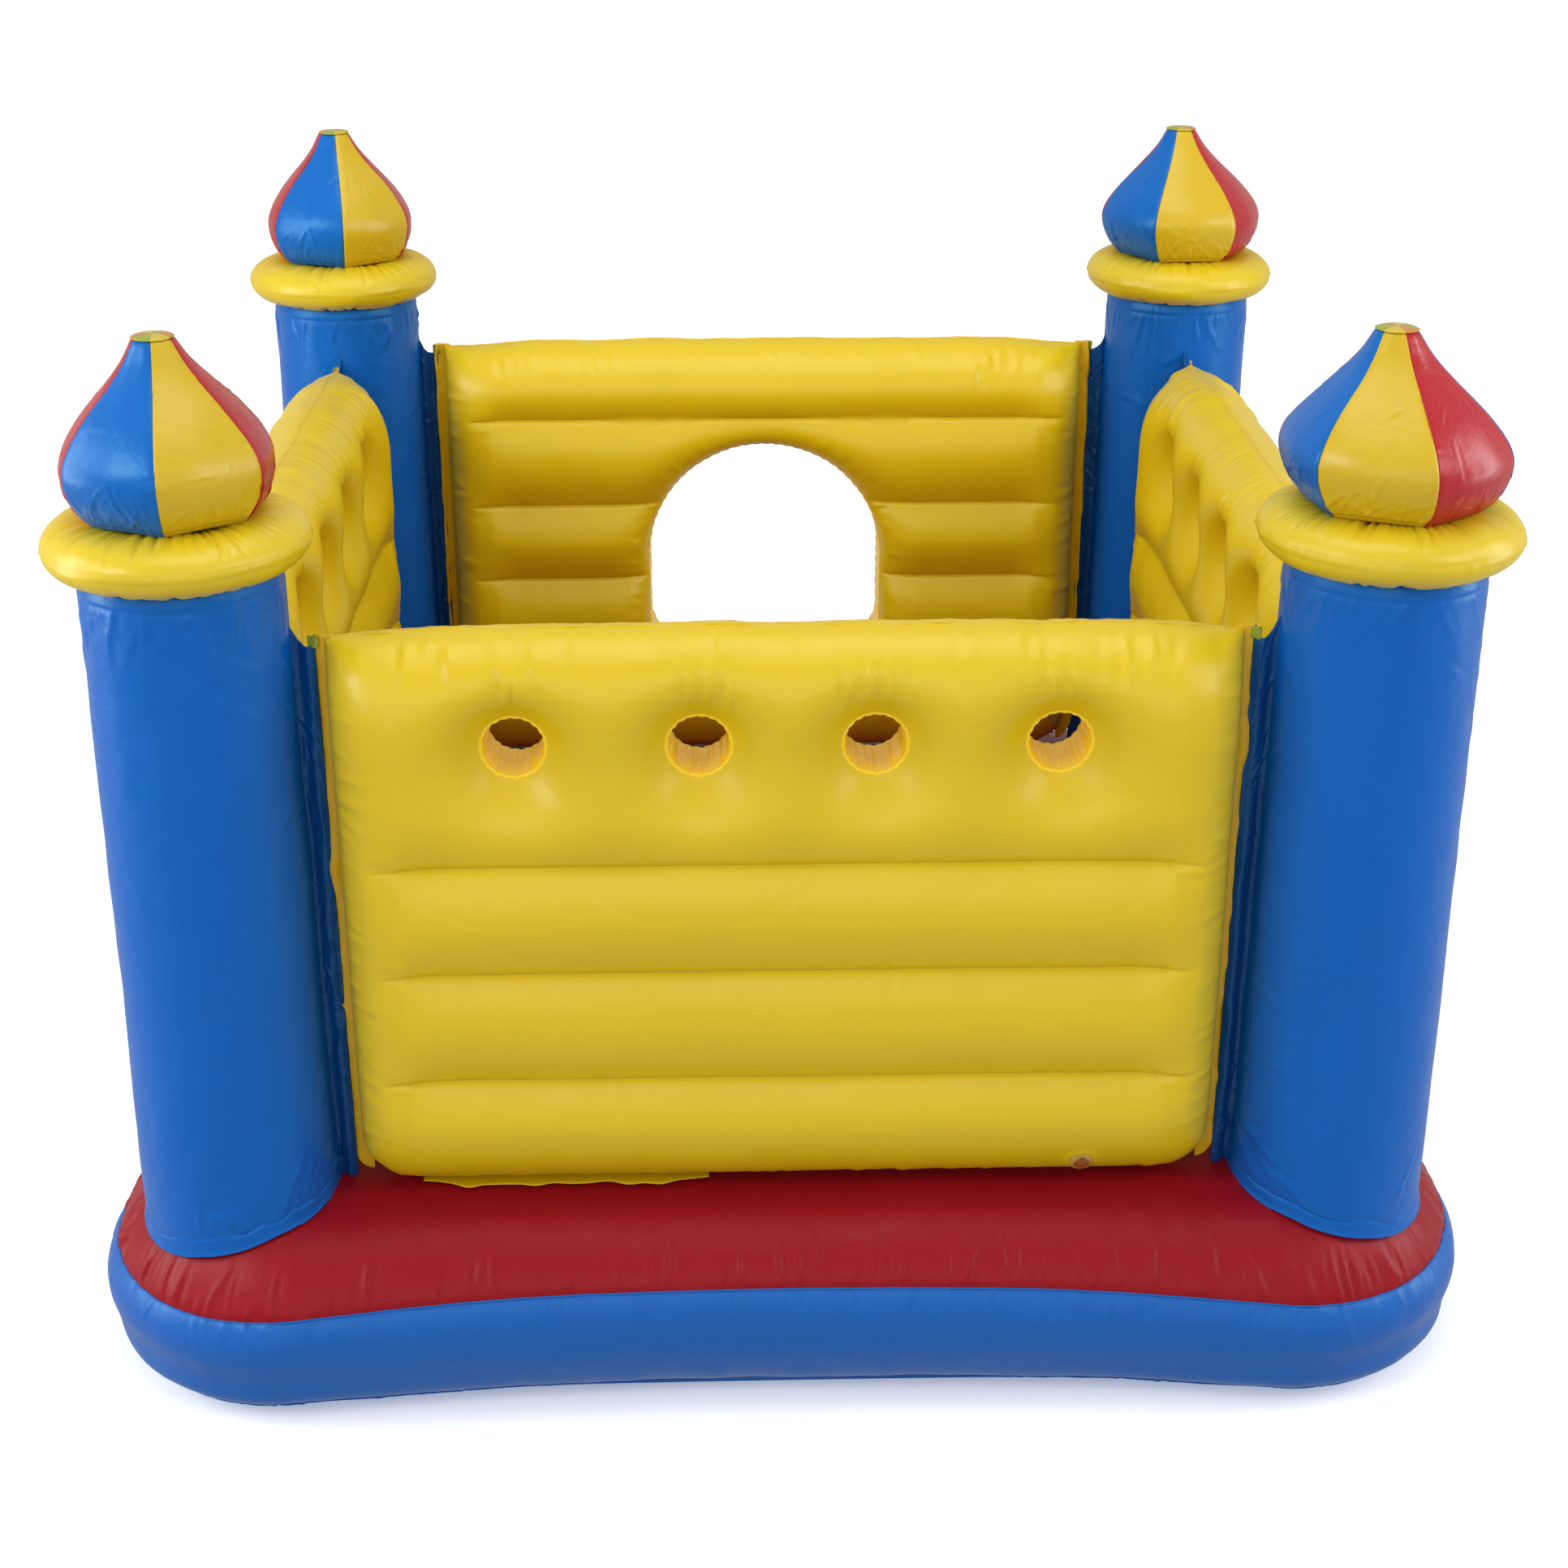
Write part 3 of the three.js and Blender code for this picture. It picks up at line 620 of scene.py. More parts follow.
def make_tower(corner, seed):
    sx, sy = SIGN[corner]
    nphi = 300
    phi = np.arange(nphi) / nphi * TAU
    inward = math.atan2(-sy, -sx)
    rs = np.random.default_rng(seed)
    low = np.r_[0, 0.0015, 0.003, 0.005, 0.0075, 0.0105, 0.0135, 0.0160, 0.0178, 0.0190, 0.0200, 0.0210, 0.0222, 0.0240, 0.0270, 0.031, 0.036, 0.042, 0.049]
    mid = np.arange(0.056, 0.75, 0.0046)
    v = np.r_[low, mid]
    top = np.r_[0.092, 0.086, 0.080, 0.074, 0.068, 0.062, 0.057, 0.052, 0.047, 0.042, 0.037, 0.032, 0.028, 0.0245, 0.0215, 0.0195, 0.018, 0.0165, 0.014, 0.010, 0.006, 0.0]
    ztop = 1.0815
    cx, cy = sx * CT, sy * CT
    zc = deck_height(cx + 0.126 * np.cos(phi), cy + 0.126 * np.sin(phi)) - 0.0015
    span = (ztop - 0.0985) - (zc + 0.75)
    z = np.concatenate(
        [zc[:, None] + low[None, :], zc[:, None] + 0.056 + (mid - 0.056)[None, :] / (mid[-1] - 0.056) * (ztop - 0.098 - 0.056 - zc)[:, None],
         np.broadcast_to(ztop - top, (nphi, len(top)))], 1)
    h = z - zc[:, None]
    p2 = phi[:, None]
    r = 0.125 + (0.117 - 0.125) * (z - 0.15) / (1.0595 - 0.15)
    r = r + 0.0026 * np.exp(-h / 0.0035)
    wav = 1 + 0.25 * vnoise(p2 / TAU * 36, 0 * p2, seed + 3, 36)
    r = r + 0.0006 * (1 - sm(0.017, 0.0205, h * wav)) - 0.0011 * np.exp(-(((h * wav - 0.0205) / 0.0022) ** 2))
    t = ztop - z
    r = r - 0.0010 * np.exp(-(((t - 0.0200) / 0.0022) ** 2)) - 0.0035 * (1 - sm(0.0, 0.022, t)) ** 2
    # soft unevenness
    r = r + 0.0016 * vnoise(p2 / TAU * 9, z / 0.17, seed, 9) + 0.0006 * vnoise(p2 / TAU * 26, z / 0.05, seed + 1, 26)
    s = p2 * 0.121
    per = TAU * 0.121
    items = []
    for _ in range(58):  # folds below the collar
        half = rs.uniform(0.012, 0.05)
        items.append((rs.uniform(0, per), ztop - 0.018 - half * rs.uniform(0.5, 1.0), rs.normal(0, 0.45), half, rs.uniform(0.0028, 0.0058), rs.uniform(0.0003, 0.0013)))
    for _ in range(16):  # longer, slanting
        items.append((rs.uniform(0, per), rs.uniform(0.86, 1.02), rs.normal(0.5, 0.3) * rs.choice([-1, 1]), rs.uniform(0.03, 0.09), rs.uniform(0.003, 0.007), rs.uniform(0.0003, 0.0009)))
    rr = creases(s, z, items, per)
    items = []
    for _ in range(60):  # folds above the foot weld, most on the inward side
        ang = rs.normal(inward + rs.choice([-0.9, 0.9]), 0.55) if rs.random() < 0.7 else rs.uniform(0, TAU)
        half = rs.uniform(0.012, 0.055)
        items.append(((ang % TAU) * 0.121, 0.018 + half * rs.uniform(0.5, 1.3), rs.normal(0, 0.9), half, rs.uniform(0.0028, 0.0055), rs.uniform(0.0003, 0.0014)))
    rr = rr + creases(s, h, items, per)
    items = []
    for side in (-1, 1):  # pulls from the two webs
        for _ in range(26):
            base_ang = math.atan2(0, -sx) if side > 0 else math.atan2(-sy, 0)
            a0 = (base_ang + rs.normal(0, 0.35)) % TAU
            items.append((a0 * 0.121, rs.uniform(0.27, 1.0), math.pi / 2 + rs.normal(0, 0.5), rs.uniform(0.012, 0.04), rs.uniform(0.0028, 0.0055), rs.uniform(0.0004, 0.0013)))
    rr = rr + creases(s, z, items, per)
    r = r + 1.2 * rr * sm(0.0, 0.012, h) * sm(0.0, 0.02, t)
    # the vertical weld of the tube
    wa = inward + 0.35
    dd = ((p2 - wa + math.pi) % TAU - math.pi) * 0.121
    r = r + 0.0005 * np.exp(-((dd / 0.004) ** 2)) - 0.0006 * np.exp(-(((np.abs(dd) - 0.006) / 0.0018) ** 2))
    p = np.stack([cx + r * np.cos(p2), cy + r * np.sin(p2), z], -1)
    cap = [np.stack([cx + q * np.cos(phi), cy + q * np.sin(phi), np.full(nphi, ztop - 0.0005)], -1) for q in (0.10, 0.06, 0.03)]
    p = np.concatenate([p, np.stack(cap, 1)], 1)
    foot = np.stack([cx + 0.118 * np.cos(phi), cy + 0.118 * np.sin(phi), zc - 0.003], -1)
    p = np.concatenate([foot[:, None, :], p], 1)
    n, m = p.shape[:2]
    verts = np.vstack([p.reshape(-1, 3), [[cx, cy, ztop - 0.0005]]])
    fan = np.stack([np.arange(n) * m + m - 1, ((np.arange(n) + 1) % n) * m + m - 1, np.full(n, n * m)], 1)
    o = build(f"tower_{corner}_tube", verts, [grid_faces(n, m, wrap_u=True), fan], M["tower"], outward=False)
    face_way(o, lambda c_, nn: (c_.x - cx) * nn.x + (c_.y - cy) * nn.y > -1e-9)
    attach(o, "root")
    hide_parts(f"tower_{corner}")


def make_collar(corner, seed):
    sx, sy = SIGN[corner]
    rs = np.random.default_rng(seed)
    n, m = 460, 64
    phi = (np.arange(n) / n * TAU)[:, None]
    th = (np.arange(m) / m * TAU)[None, :]
    deg = np.degrees(th)
    h = np.zeros((n, m))
    # gathers on the inner side of the top sheet
    k = 64
    at = (np.arange(k) + rs.uniform(-0.42, 0.42, k)) / k * TAU
    for a0 in at:
        end = rs.choice([rs.uniform(44, 66), rs.uniform(16, 44)], p=[0.6, 0.4])
        w = rs.uniform(0.018, 0.032)
        twist = rs.normal(0, 0.05)
        d = (phi - a0 - twist * (deg - 90) / 90 + math.pi) % TAU - math.pi
        h -= rs.uniform(0.0010, 0.0030) * np.exp(-((d / w) ** 2)) * sm(end - 10, end + 30, deg) * (1 - sm(168, 186, deg))
    # gathers on the lower sheet, where it meets the tower
    k = 40
    at = (np.arange(k) + rs.uniform(-0.4, 0.4, k)) / k * TAU
    for a0 in at:
        end = rs.uniform(302, 336)
        w = rs.uniform(0.022, 0.045)
        d = (phi - a0 + rs.normal(0, 0.04) * (deg - 290) / 40 + math.pi) % TAU - math.pi
        h -= rs.uniform(0.0014, 0.0042) * np.exp(-((d / w) ** 2)) * (1 - sm(end - 26, end, deg)) * sm(182, 200, deg)
    # a few longer folds over the shoulder
    items = []
    for _ in range(22):
        items.append((rs.uniform(0, TAU) * 0.14, rs.uniform(0.030, 0.085), rs.normal(0, 0.55), rs.uniform(0.010, 0.028), rs.uniform(0.0018, 0.0034), rs.uniform(0.0004, 0.0012)))
    h += creases(phi * 0.14, th * 0.0525, items, TAU * 0.14)
    # equator welds
    d0 = np.minimum(th, TAU - th) * 0.0525
    h += 0.0009 * np.exp(-((d0 / 0.0014) ** 2)) - 0.0010 * np.exp(-(((d0 - 0.0035) / 0.0020) ** 2))
    rip = vnoise(phi / TAU * 90, 0 * phi, seed + 5, 90)
    h += 0.0007 * rip * np.exp(-((d0 / 0.012) ** 2))
    # joint of the ring
    ja = math.radians(rs.uniform(0, 360))
    dj = ((phi - ja + math.pi) % TAU - math.pi) * 0.14
    h -= 0.0009 * np.exp(-((dj / 0.0022) ** 2))
    h += 0.0012 * vnoise(phi / TAU * 14, th / TAU * 6, seed + 6, 14)
    a = 0.0528 + h
    b = 0.0345 + h
    rad = 0.0998 + a * np.cos(th)
    z = 1.1110 + b * np.sin(th)
    p = np.stack([sx * CT + rad * np.cos(phi), sy * CT + rad * np.sin(phi), z * np.ones_like(phi)], -1)
    o = build(f"collar_{corner}_ring", p, grid_faces(n, m, wrap_u=True, wrap_v=True), M["collar"])
    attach(o, "root")
    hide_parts(f"collar_{corner}")


DOME = [
    (0.0880, 1.1400), (0.0960, 1.1440), (0.1050, 1.1530), (0.1130, 1.1670), (0.1180, 1.1830), (0.1200, 1.1990),
    (0.1190, 1.2120), (0.1140, 1.2270), (0.1050, 1.2430), (0.0935, 1.2590), (0.0790, 1.2760), (0.0630, 1.2930),
    (0.0495, 1.3080), (0.0385, 1.3220), (0.0310, 1.3340), (0.0262, 1.3420), (0.0215, 1.3460), (0.0120, 1.3474),
    (0.0030, 1.3476),
]


def make_dome(corner, seed):
    sx, sy = SIGN[corner]
    cx, cy = sx * CT, sy * CT
    k = DOME_R[corner]
    prof = spline(DOME, 128)
    prof[:, 0] *= 1 + (k - 1) * np.exp(-(((prof[:, 1] - 1.21) / 0.075) ** 2))
    nrm = curve_normals(prof)
    if nrm[30, 0] < 0:
        nrm = -nrm
    ss = np.r_[0, np.cumsum(np.linalg.norm(np.diff(prof, axis=0), axis=1))]
    mats = [M["d_yellow"], M["d_red"], M["d_blue"]]
    start = math.radians(SEAMS[corner])
    rs = np.random.default_rng(seed)
    lean = DOME_LEAN[corner]
    twist = rs.uniform(-0.05, 0.05)

    def place(ang, r, z):
        up = np.clip((z - 1.16) / 0.19, 0, 1)
        bow = lean * up
        return np.stack([cx + bow + r * np.cos(ang), cy + r * np.sin(ang), z * np.ones_like(r)], -1)

    for i in range(6):
        nu = 60
        u = np.linspace(0, 1, nu)[:, None]
        r0, z0, s0 = prof[None, :, 0], prof[None, :, 1], ss[None, :]
        ang = start + (i + u) * math.pi / 3 + twist * (z0 - 1.25) / 0.09 * 0.5
        wdt = r0 * math.pi / 3
        dm = np.minimum(u, 1 - u) * wdt
        flat = math.cos(math.pi / 6) / np.cos((u - 0.5) * math.pi / 3) - 1
        h = -0.0011 * np.exp(-((dm / 0.0032) ** 1.3)) + 0.42 * r0 * flat
        items = []
        for _ in range(20):  # fine folds low on the belly
            half = rs.uniform(0.012, 0.042)
            items.append((rs.uniform(0.004, 0.122), 0.010 + half * rs.uniform(0.5, 1.35), rs.normal(0.15, 0.55), half, rs.uniform(0.0017, 0.0036), rs.uniform(0.0004, 0.0014)))
        for _ in range(5):
            items.append((rs.uniform(0.01, 0.11), rs.uniform(0.05, 0.17), rs.normal(0.5, 0.8), rs.uniform(0.012, 0.035), rs.uniform(0.0020, 0.0040), rs.uniform(0.0002, 0.0006)))
        for _ in range(9):  # puckers along the welds
            edge_ = 0.002 if rs.random() < 0.5 else 0.122
            items.append((edge_, rs.uniform(0.02, 0.22), math.pi / 2 + rs.normal(0, 0.3), rs.uniform(0.006, 0.014), rs.uniform(0.0018, 0.0032), rs.uniform(0.0002, 0.0006)))
        h = h + creases(u * 0.124, s0, items) * sm(0.0, 0.02, r0)
        h = h + 0.0007 * vnoise(u * 3 + 11 * i, s0 / 0.05, seed + 9)
        # the weld ring just above the collar
        h = h - 0.0012 * np.exp(-(((s0 - 0.0165) / 0.0018) ** 2))
        h = h * sm(0.0, 0.012, r0)
        h = h * 1.0
        rr = r0 + h * nrm[None, :, 0]
        zz = z0 + h * nrm[None, :, 1]
        p = place(ang, rr, zz)
        o = build(f"dome_{corner}_panel_{i + 1}", p, grid_faces(nu, prof.shape[0]), mats[i % 3], outward=False)
        face_way(o, lambda c_, nn: (c_.x - cx) * nn.x + (c_.y - cy) * nn.y + (c_.z - 1.2) * nn.z > 0)
        thicken(o, 0.0012)
        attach(o, "root")
        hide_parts(f"dome_{corner}_gore_{i + 1}")
    # round patch over the tip
    tip = prof[prof[:, 1] > 1.3436]
    n = 60
    ph = np.arange(n) / n * TAU
    rows = []
    for j, (r, z) in enumerate(tip):
        wob = 1 + 0.03 * vnoise(ph / TAU * 12, 0 * ph, seed + 2, 12)
        rows.append(place(start + twist * 0.5 + ph, (r + 0.0005) * wob, np.full(n, z + 0.0011)))
    p = np.stack(rows, 1)
    nn_, mm_ = p.shape[:2]
    verts = np.vstack([p.reshape(-1, 3), place(np.array([0.0]), np.array([0.0]), np.array([tip[-1, 1] + 0.0012]))])
    fan = np.stack([np.arange(nn_) * mm_ + mm_ - 1, ((np.arange(nn_) + 1) % nn_) * mm_ + mm_ - 1, np.full(nn_, nn_ * mm_)], 1)
    quads = grid_faces(nn_, mm_, wrap_u=True)
    sector = lambda col: (np.array([1, 2, 0])[(col * 6 // nn_) % 3])
    index = np.r_[sector(np.repeat(np.arange(nn_), mm_ - 1)), sector(np.arange(nn_))]
    o = build(f"dome_{corner}_tip_patch", verts, [quads, fan], [M["tip_green"], M["tip_yellow"], M["tip_orange"]], index=index, outward=False)
    face_way(o, lambda c_, q: q.z > 0)
    thicken(o, 0.0009)
    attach(o, "root")


for k, corner in enumerate(SIGN):
    make_tower(corner, 100 + 20 * k)
    make_collar(corner, 200 + 20 * k)
    make_dome(corner, 300 + 20 * k)

# ---------------------------------------------------------------- walls
WALL_MID, X_END, Z_LOW, Z_TOP = 0.698, 0.5390, 0.262, 1.0
T_BULGE, T_GROOVE = 0.0925, 0.0700
HOLES = [(-0.322, 0.865), (-0.104, 0.865), (0.104, 0.865), (0.322, 0.865)]
HOLE_R, HOLE_RIM = 0.038, 0.040
DOOR_C, DOOR_W, DOOR_H, DOOR_RIM = (0.0, 0.642), 0.200, 0.190, 0.046
TILT = math.atan2(90 - 64, 330 - 272)
V_N = np.array([0.0, math.cos(TILT), -math.sin(TILT)])
V_SEAT = np.array([-0.370, 0.077, 0.301]) - 0.0055 * V_N


def lines(breaks, step):
    out = []
    for a, b in zip(breaks[:-1], breaks[1:]):
        n = max(1, int(round((b - a) / step((a + b) / 2))))
        out.append(np.linspace(a, b, n, endpoint=False))
    return np.r_[np.concatenate(out), breaks[-1]]


EDGE = 0.0006 * np.arange(0, 11) ** 2


def door_radius(ang):
    """Distance from the door's centre to its outline along each direction."""
    spring, w, low, rc = 0.632, 0.200, 0.452, 0.060
    pts = []
    for t in np.linspace(0, math.pi, 200):
        pts.append((w * math.cos(t), spring + w * math.sin(t)))
    for t in np.linspace(math.pi, 1.5 * math.pi, 40):
        pts.append((-w + rc + rc * math.cos(t), low + rc + rc * math.sin(t)))
    for t in np.linspace(1.5 * math.pi, 2 * math.pi, 40):
        pts.append((w - rc + rc * math.cos(t), low + rc + rc * math.sin(t)))
    pts = np.array(pts) - np.array(DOOR_C)
    # densify straight runs
    dense = []
    for a, b in zip(pts, np.roll(pts, -1, axis=0)):
        for t in np.linspace(0, 1, 12, endpoint=False):
            dense.append(a * (1 - t) + b * t)
    dense = np.array(dense)
    a = np.arctan2(dense[:, 1], dense[:, 0]) % TAU
    order = np.argsort(a)
    return np.interp(ang % TAU, a[order], np.hypot(dense[order, 0], dense[order, 1]), period=TAU)


def ring_warp(X, Z, cx, cz, hw, hh, radius, reach):
    """Bends a rectangular ring of the grid onto a round outline. Returns positions and the inside test value."""
    dx, dz = X - cx, Z - cz
    rho = np.maximum(np.abs(dx) / hw, np.abs(dz) / hh)
    ang = np.arctan2(dz, dx)
    rect = 1 / np.maximum(np.maximum(np.abs(np.cos(ang)) / hw, np.abs(np.sin(ang)) / hh), 1e-9)
    s = radius(ang) / rect
    w = 1 - sm(1.0, reach, rho)
    k = 1 + (s - 1) * w
    return cx + dx * k, cz + dz * k, rho


def wall_half(X, Z, bands, side, seed):
    """Half thickness of a wall's air chamber at points of its plane. side is not used."""
    ax = np.abs(X)
    b = np.clip((ax - 0.450) / (X_END - 0.450), 0, 1)
    a_top = np.clip((Z - 0.862) / (Z_TOP - 0.862), 0, 1)
    a_bot = np.clip((0.385 - Z) / (0.385 - Z_LOW), 0, 1)
    rows_ = np.where(Z > 0.6, 1 - a_top**2.2, 1 - a_bot**1.9)
    full = np.sqrt(np.clip(rows_, 0, 1)) * np.clip(1 - b**2.3, 0, 1) ** (1 / 2.3)
    cu = np.clip((ax - (X_END - 0.062)) / 0.062, 0, 1)
    cv = np.clip(((Z_LOW + 0.062) - Z) / 0.062, 0, 1)
    full = full * np.sqrt(np.clip(1 - np.hypot(cu, cv) ** 5, 0, 1)) / np.maximum(np.sqrt(np.clip(1 - np.maximum(cu, cv) ** 5, 1e-9, 1)), 1e-3)
    g = np.zeros_like(X)
    door = DOOR_RIM if bands is DOOR_BANDS else None
    for zb in bands:
        gap = 0.074
        c = (1 - np.clip(np.abs(Z - zb) / gap, 0, 1)) ** 2
        line_ = 0.14 * np.exp(-(((Z - zb) / 0.0030) ** 2))
        g = np.maximum(g, c + line_)
    fade = 1 - sm(0.420, 0.515, ax)
    T = (T_BULGE - (T_BULGE - T_GROOVE) * g * fade) * full
    # small dimple where each band ends
    for zb in bands:
        rr = np.hypot(ax - 0.458, Z - zb)
        T = T - 0.0028 * np.exp(-((rr / 0.0055) ** 2))
    return T, full, fade


def top_warp(x, z, seed):
    """How far the top edge hangs below its straight line."""
    ax = np.abs(x)
    dip = 0.009 * sm(0.36, 0.545, ax) + 0.0016 * vnoise(x * 11 + seed, 0 * x, seed + 33) + 0.0011 * vnoise(x * 27 + seed, 0 * x, seed + 34)
    return dip * sm(0.90, 0.995, z)


WALL_BANDS = (0.430, 0.578, 0.720)
DOOR_BANDS = (0.430, 0.600, 0.731, 0.880)


def wall_relief(X, Z, bands, side, seed, name):
    """Folds and unevenness of one face, as extra half thickness."""
    rs = np.random.default_rng(seed + (500 if side < 0 else 0))
    off = 40 + seed * 0.37 + (9 if side < 0 else 0)
    h = 0.0013 * vnoise(X * 6 + off, Z * 6 + off, seed) + 0.00045 * vnoise(X * 22 + off, Z * 22 + off, seed + 1)
    items = []
    dt = Z_TOP - Z
    # pleats under the top weld: many short ones near the ends, few in the middle
    for _ in range(30):
        e = rs.choice([-1, 1])
        x0 = e * (X_END - abs(rs.normal(0.0, 0.11)) - 0.012)
        half = rs.uniform(0.010, 0.042)
        items.append((x0, Z_TOP - half * rs.uniform(0.5, 0.9), rs.normal(0.12 * e, 0.18), half, rs.uniform(0.0042, 0.0075), rs.uniform(0.0012, 0.0040)))
    for _ in range(26):
        half = rs.uniform(0.008, 0.026)
        items.append((rs.uniform(-0.42, 0.42), Z_TOP - half * 0.7, rs.normal(0, 0.18), half, rs.uniform(0.0045, 0.008), rs.uniform(0.0005, 0.0020)))
    # pulls from the end welds
    for e in (-1, 1):
        for _ in range(46):
            half = rs.uniform(0.008, 0.030)
            items.append((e * (X_END - half * 0.7), rs.uniform(Z_LOW + 0.02, Z_TOP - 0.02), math.pi / 2 + rs.normal(0, 0.25), half, rs.uniform(0.0038, 0.0065), rs.uniform(0.0008, 0.0026)))
        for zb in bands:  # fan of folds where a tension band ends
            for q in range(5):
                ang = math.pi / 2 + rs.normal(0, 0.5)
                items.append((e * rs.uniform(0.468, 0.495), zb + rs.normal(0, 0.010), ang, rs.uniform(0.010, 0.024), rs.uniform(0.0036, 0.005), rs.uniform(0.0006, 0.0016)))
    # folds along the tension bands
    for zb in bands:
        for _ in range(18):
            half = rs.uniform(0.006, 0.018)
            items.append((rs.uniform(-0.44, 0.44), zb + rs.choice([-1, 1]) * half * 0.8, rs.normal(0, 0.3), half, rs.uniform(0.0038, 0.006), rs.uniform(0.0003, 0.0010)))
    # bottom weld
    for _ in range(40):
        half = rs.uniform(0.008, 0.024)
        items.append((rs.uniform(-0.5, 0.5), Z_LOW + half * 0.7, rs.normal(0, 0.3), half, rs.uniform(0.0040, 0.0062), rs.uniform(0.0006, 0.0020)))
    if name != "back":
        for hx, hz in HOLES:  # folds drawn up from each round hole, and a few round it
            for off_ in (-0.011, 0.010, rs.normal(0, 0.03)):
                half = rs.uniform(0.026, 0.038)
                items.append((hx + off_ + rs.normal(0, 0.002), hz + HOLE_R + 0.008 + half, rs.normal(0, 0.07), half, rs.uniform(0.0036, 0.0044), rs.uniform(0.0050, 0.0078)))
            for _ in range(10):
                t = rs.uniform(0, TAU)
                d = HOLE_R + rs.uniform(0.012, 0.030)
                items.append((hx + d * math.cos(t), hz + d * math.sin(t), math.pi / 2 - t + rs.normal(0, 0.2), rs.uniform(0.006, 0.014), rs.uniform(0.0034, 0.0045), rs.uniform(0.0004, 0.0010)))
    else:
        for _ in range(60):  # gathers round the doorway
            t = rs.uniform(-0.25, math.pi + 0.25)
            d = 0.200 + rs.uniform(0.010, 0.028)
            items.append((d * math.cos(t), 0.632 + d * math.sin(t), math.pi / 2 - t + rs.normal(0, 0.15), rs.uniform(0.008, 0.020), rs.uniform(0.0036, 0.0050), rs.uniform(0.0006, 0.0018)))
        for e in (-1, 1):
            for _ in range(14):
                items.append((e * (0.200 + rs.uniform(0.010, 0.028)), rs.uniform(0.47, 0.64), math.pi / 2 + rs.normal(0, 0.2), rs.uniform(0.008, 0.020), rs.uniform(0.0036, 0.0050), rs.uniform(0.0006, 0.0018)))
    return h + creases(X, Z, items)


def make_wall(name, angle, seed):
    door = name == "back"
    bands = DOOR_BANDS if door else WALL_BANDS
    xe = [X_END - e for e in EDGE]  # fine steps towards the ends
    zt = [Z_TOP - e for e in EDGE]
    zb_ = [Z_LOW + e for e in EDGE]
    if door:
        xb = [-0.464, -0.30, -0.2, -0.1, 0, 0.1, 0.2, 0.30, 0.464]
        zb = [0.318, 0.380, 0.430, 0.452, 0.832, 0.880, 0.940]
        step_z = lambda z: 0.0042
        step_x = lambda x: 0.0042
    else:
        xb = [-0.464]
        for hx, _ in HOLES:
            xb += [hx - 0.078, hx - HOLE_R, hx + HOLE_R, hx + 0.078]
        xb += [0.464]
        zb = [0.318, 0.430, 0.578, 0.720, 0.787, 0.827, 0.903, 0.940]
        step_z = lambda z: 0.0040
        step_x = lambda x: 0.0038
    xs = np.r_[[-v for v in xe[:-1]], lines(xb, step_x), xe[:-1][::-1]]
    zs = np.r_[zb_[:-1], lines(zb, step_z), zt[:-1][::-1]]
    # extra lines next to each crease keep it sharp
    zs = np.unique(np.r_[zs, [zb0 + d for zb0 in bands for d in (-0.0035, -0.0015, 0.0015, 0.0035)]])
    X0, Z0 = np.meshgrid(xs, zs, indexing="ij")
    X, Z = X0.copy(), Z0.copy()
    inside = np.zeros((len(xs) - 1, len(zs) - 1), bool)
    cxs, czs = (xs[:-1] + xs[1:]) / 2, (zs[:-1] + zs[1:]) / 2
    CX, CZ = np.meshgrid(cxs, czs, indexing="ij")
    if door:
        X, Z, rho = ring_warp(X0, Z0, *DOOR_C, DOOR_W, DOOR_H, door_radius, 1.5)
        inside |= (np.abs(CX) < DOOR_W) & (np.abs(CZ - DOOR_C[1]) < DOOR_H)
    else:
        for hx, hz in HOLES:
            dx, dz, rho = ring_warp(X0, Z0, hx, hz, HOLE_R, HOLE_R, lambda a: np.full_like(a, HOLE_R), 2.05)
            near = rho < 2.05
            X, Z = np.where(near, dx, X), np.where(near, dz, Z)
            inside |= (np.abs(CX - hx) < HOLE_R) & (np.abs(CZ - hz) < HOLE_R)
    T, full, fade = wall_half(X, Z, bands, 1, seed)
    faces_y = []
    for side in (1, -1):
        t = T + wall_relief(X, Z, bands, side, seed, name) * sm(0.0, 0.25, full)
        if door:
            r = np.hypot(X - DOOR_C[0], Z - DOOR_C[1])
            d = r - door_radius(np.arctan2(Z - DOOR_C[1], X - DOOR_C[0]))
            q = np.clip(d / 0.075, 0, 1)
            round_ = np.sqrt(np.clip(1 - (1 - q) ** 2.2, 0, 1))
            t = DOOR_RIM + (t - DOOR_RIM) * round_
        else:
            for hx, hz in HOLES:
                r = np.hypot(X - hx, Z - hz)
                d = np.clip(r - HOLE_R, 0, None)
                lift = np.clip((Z - hz) / np.maximum(r, 1e-6), -1, 1)
                q = 1 - np.exp(-((d / (0.045 - 0.011 * lift)) ** 1.35))
                t = np.where(r < 0.22, HOLE_RIM + (t - HOLE_RIM) * q, t)
        if side == 1:  # recess of the pump valve
            r = np.hypot(X - V_SEAT[0], (Z - V_SEAT[2]) / math.cos(TILT))
            plane = V_SEAT[1] + (Z - V_SEAT[2]) * math.tan(TILT)
            w = 1 - sm(0.0165, 0.0245, r)
            t = t * (1 - w) + plane * w
        edge = (X0 <= xs[0]) | (X0 >= xs[-1]) | (Z0 <= zs[0]) | (Z0 >= zs[-1]) | (full < 1e-4)
        t = np.where(edge, 0.0, np.maximum(t, 0.0))
        # outside the rounded corners both faces close on the mid plane
        faces_y.append(side * t)
    Z = Z - top_warp(X, Z, seed)
    nu, nv = X.shape
    va = np.stack([X, faces_y[0], Z], -1).reshape(-1, 3)
    vb = np.stack([X, faces_y[1], Z], -1).reshape(-1, 3)
    fa = grid_faces(nu, nv)
    keep = ~inside.ravel()
    fa = fa[keep]
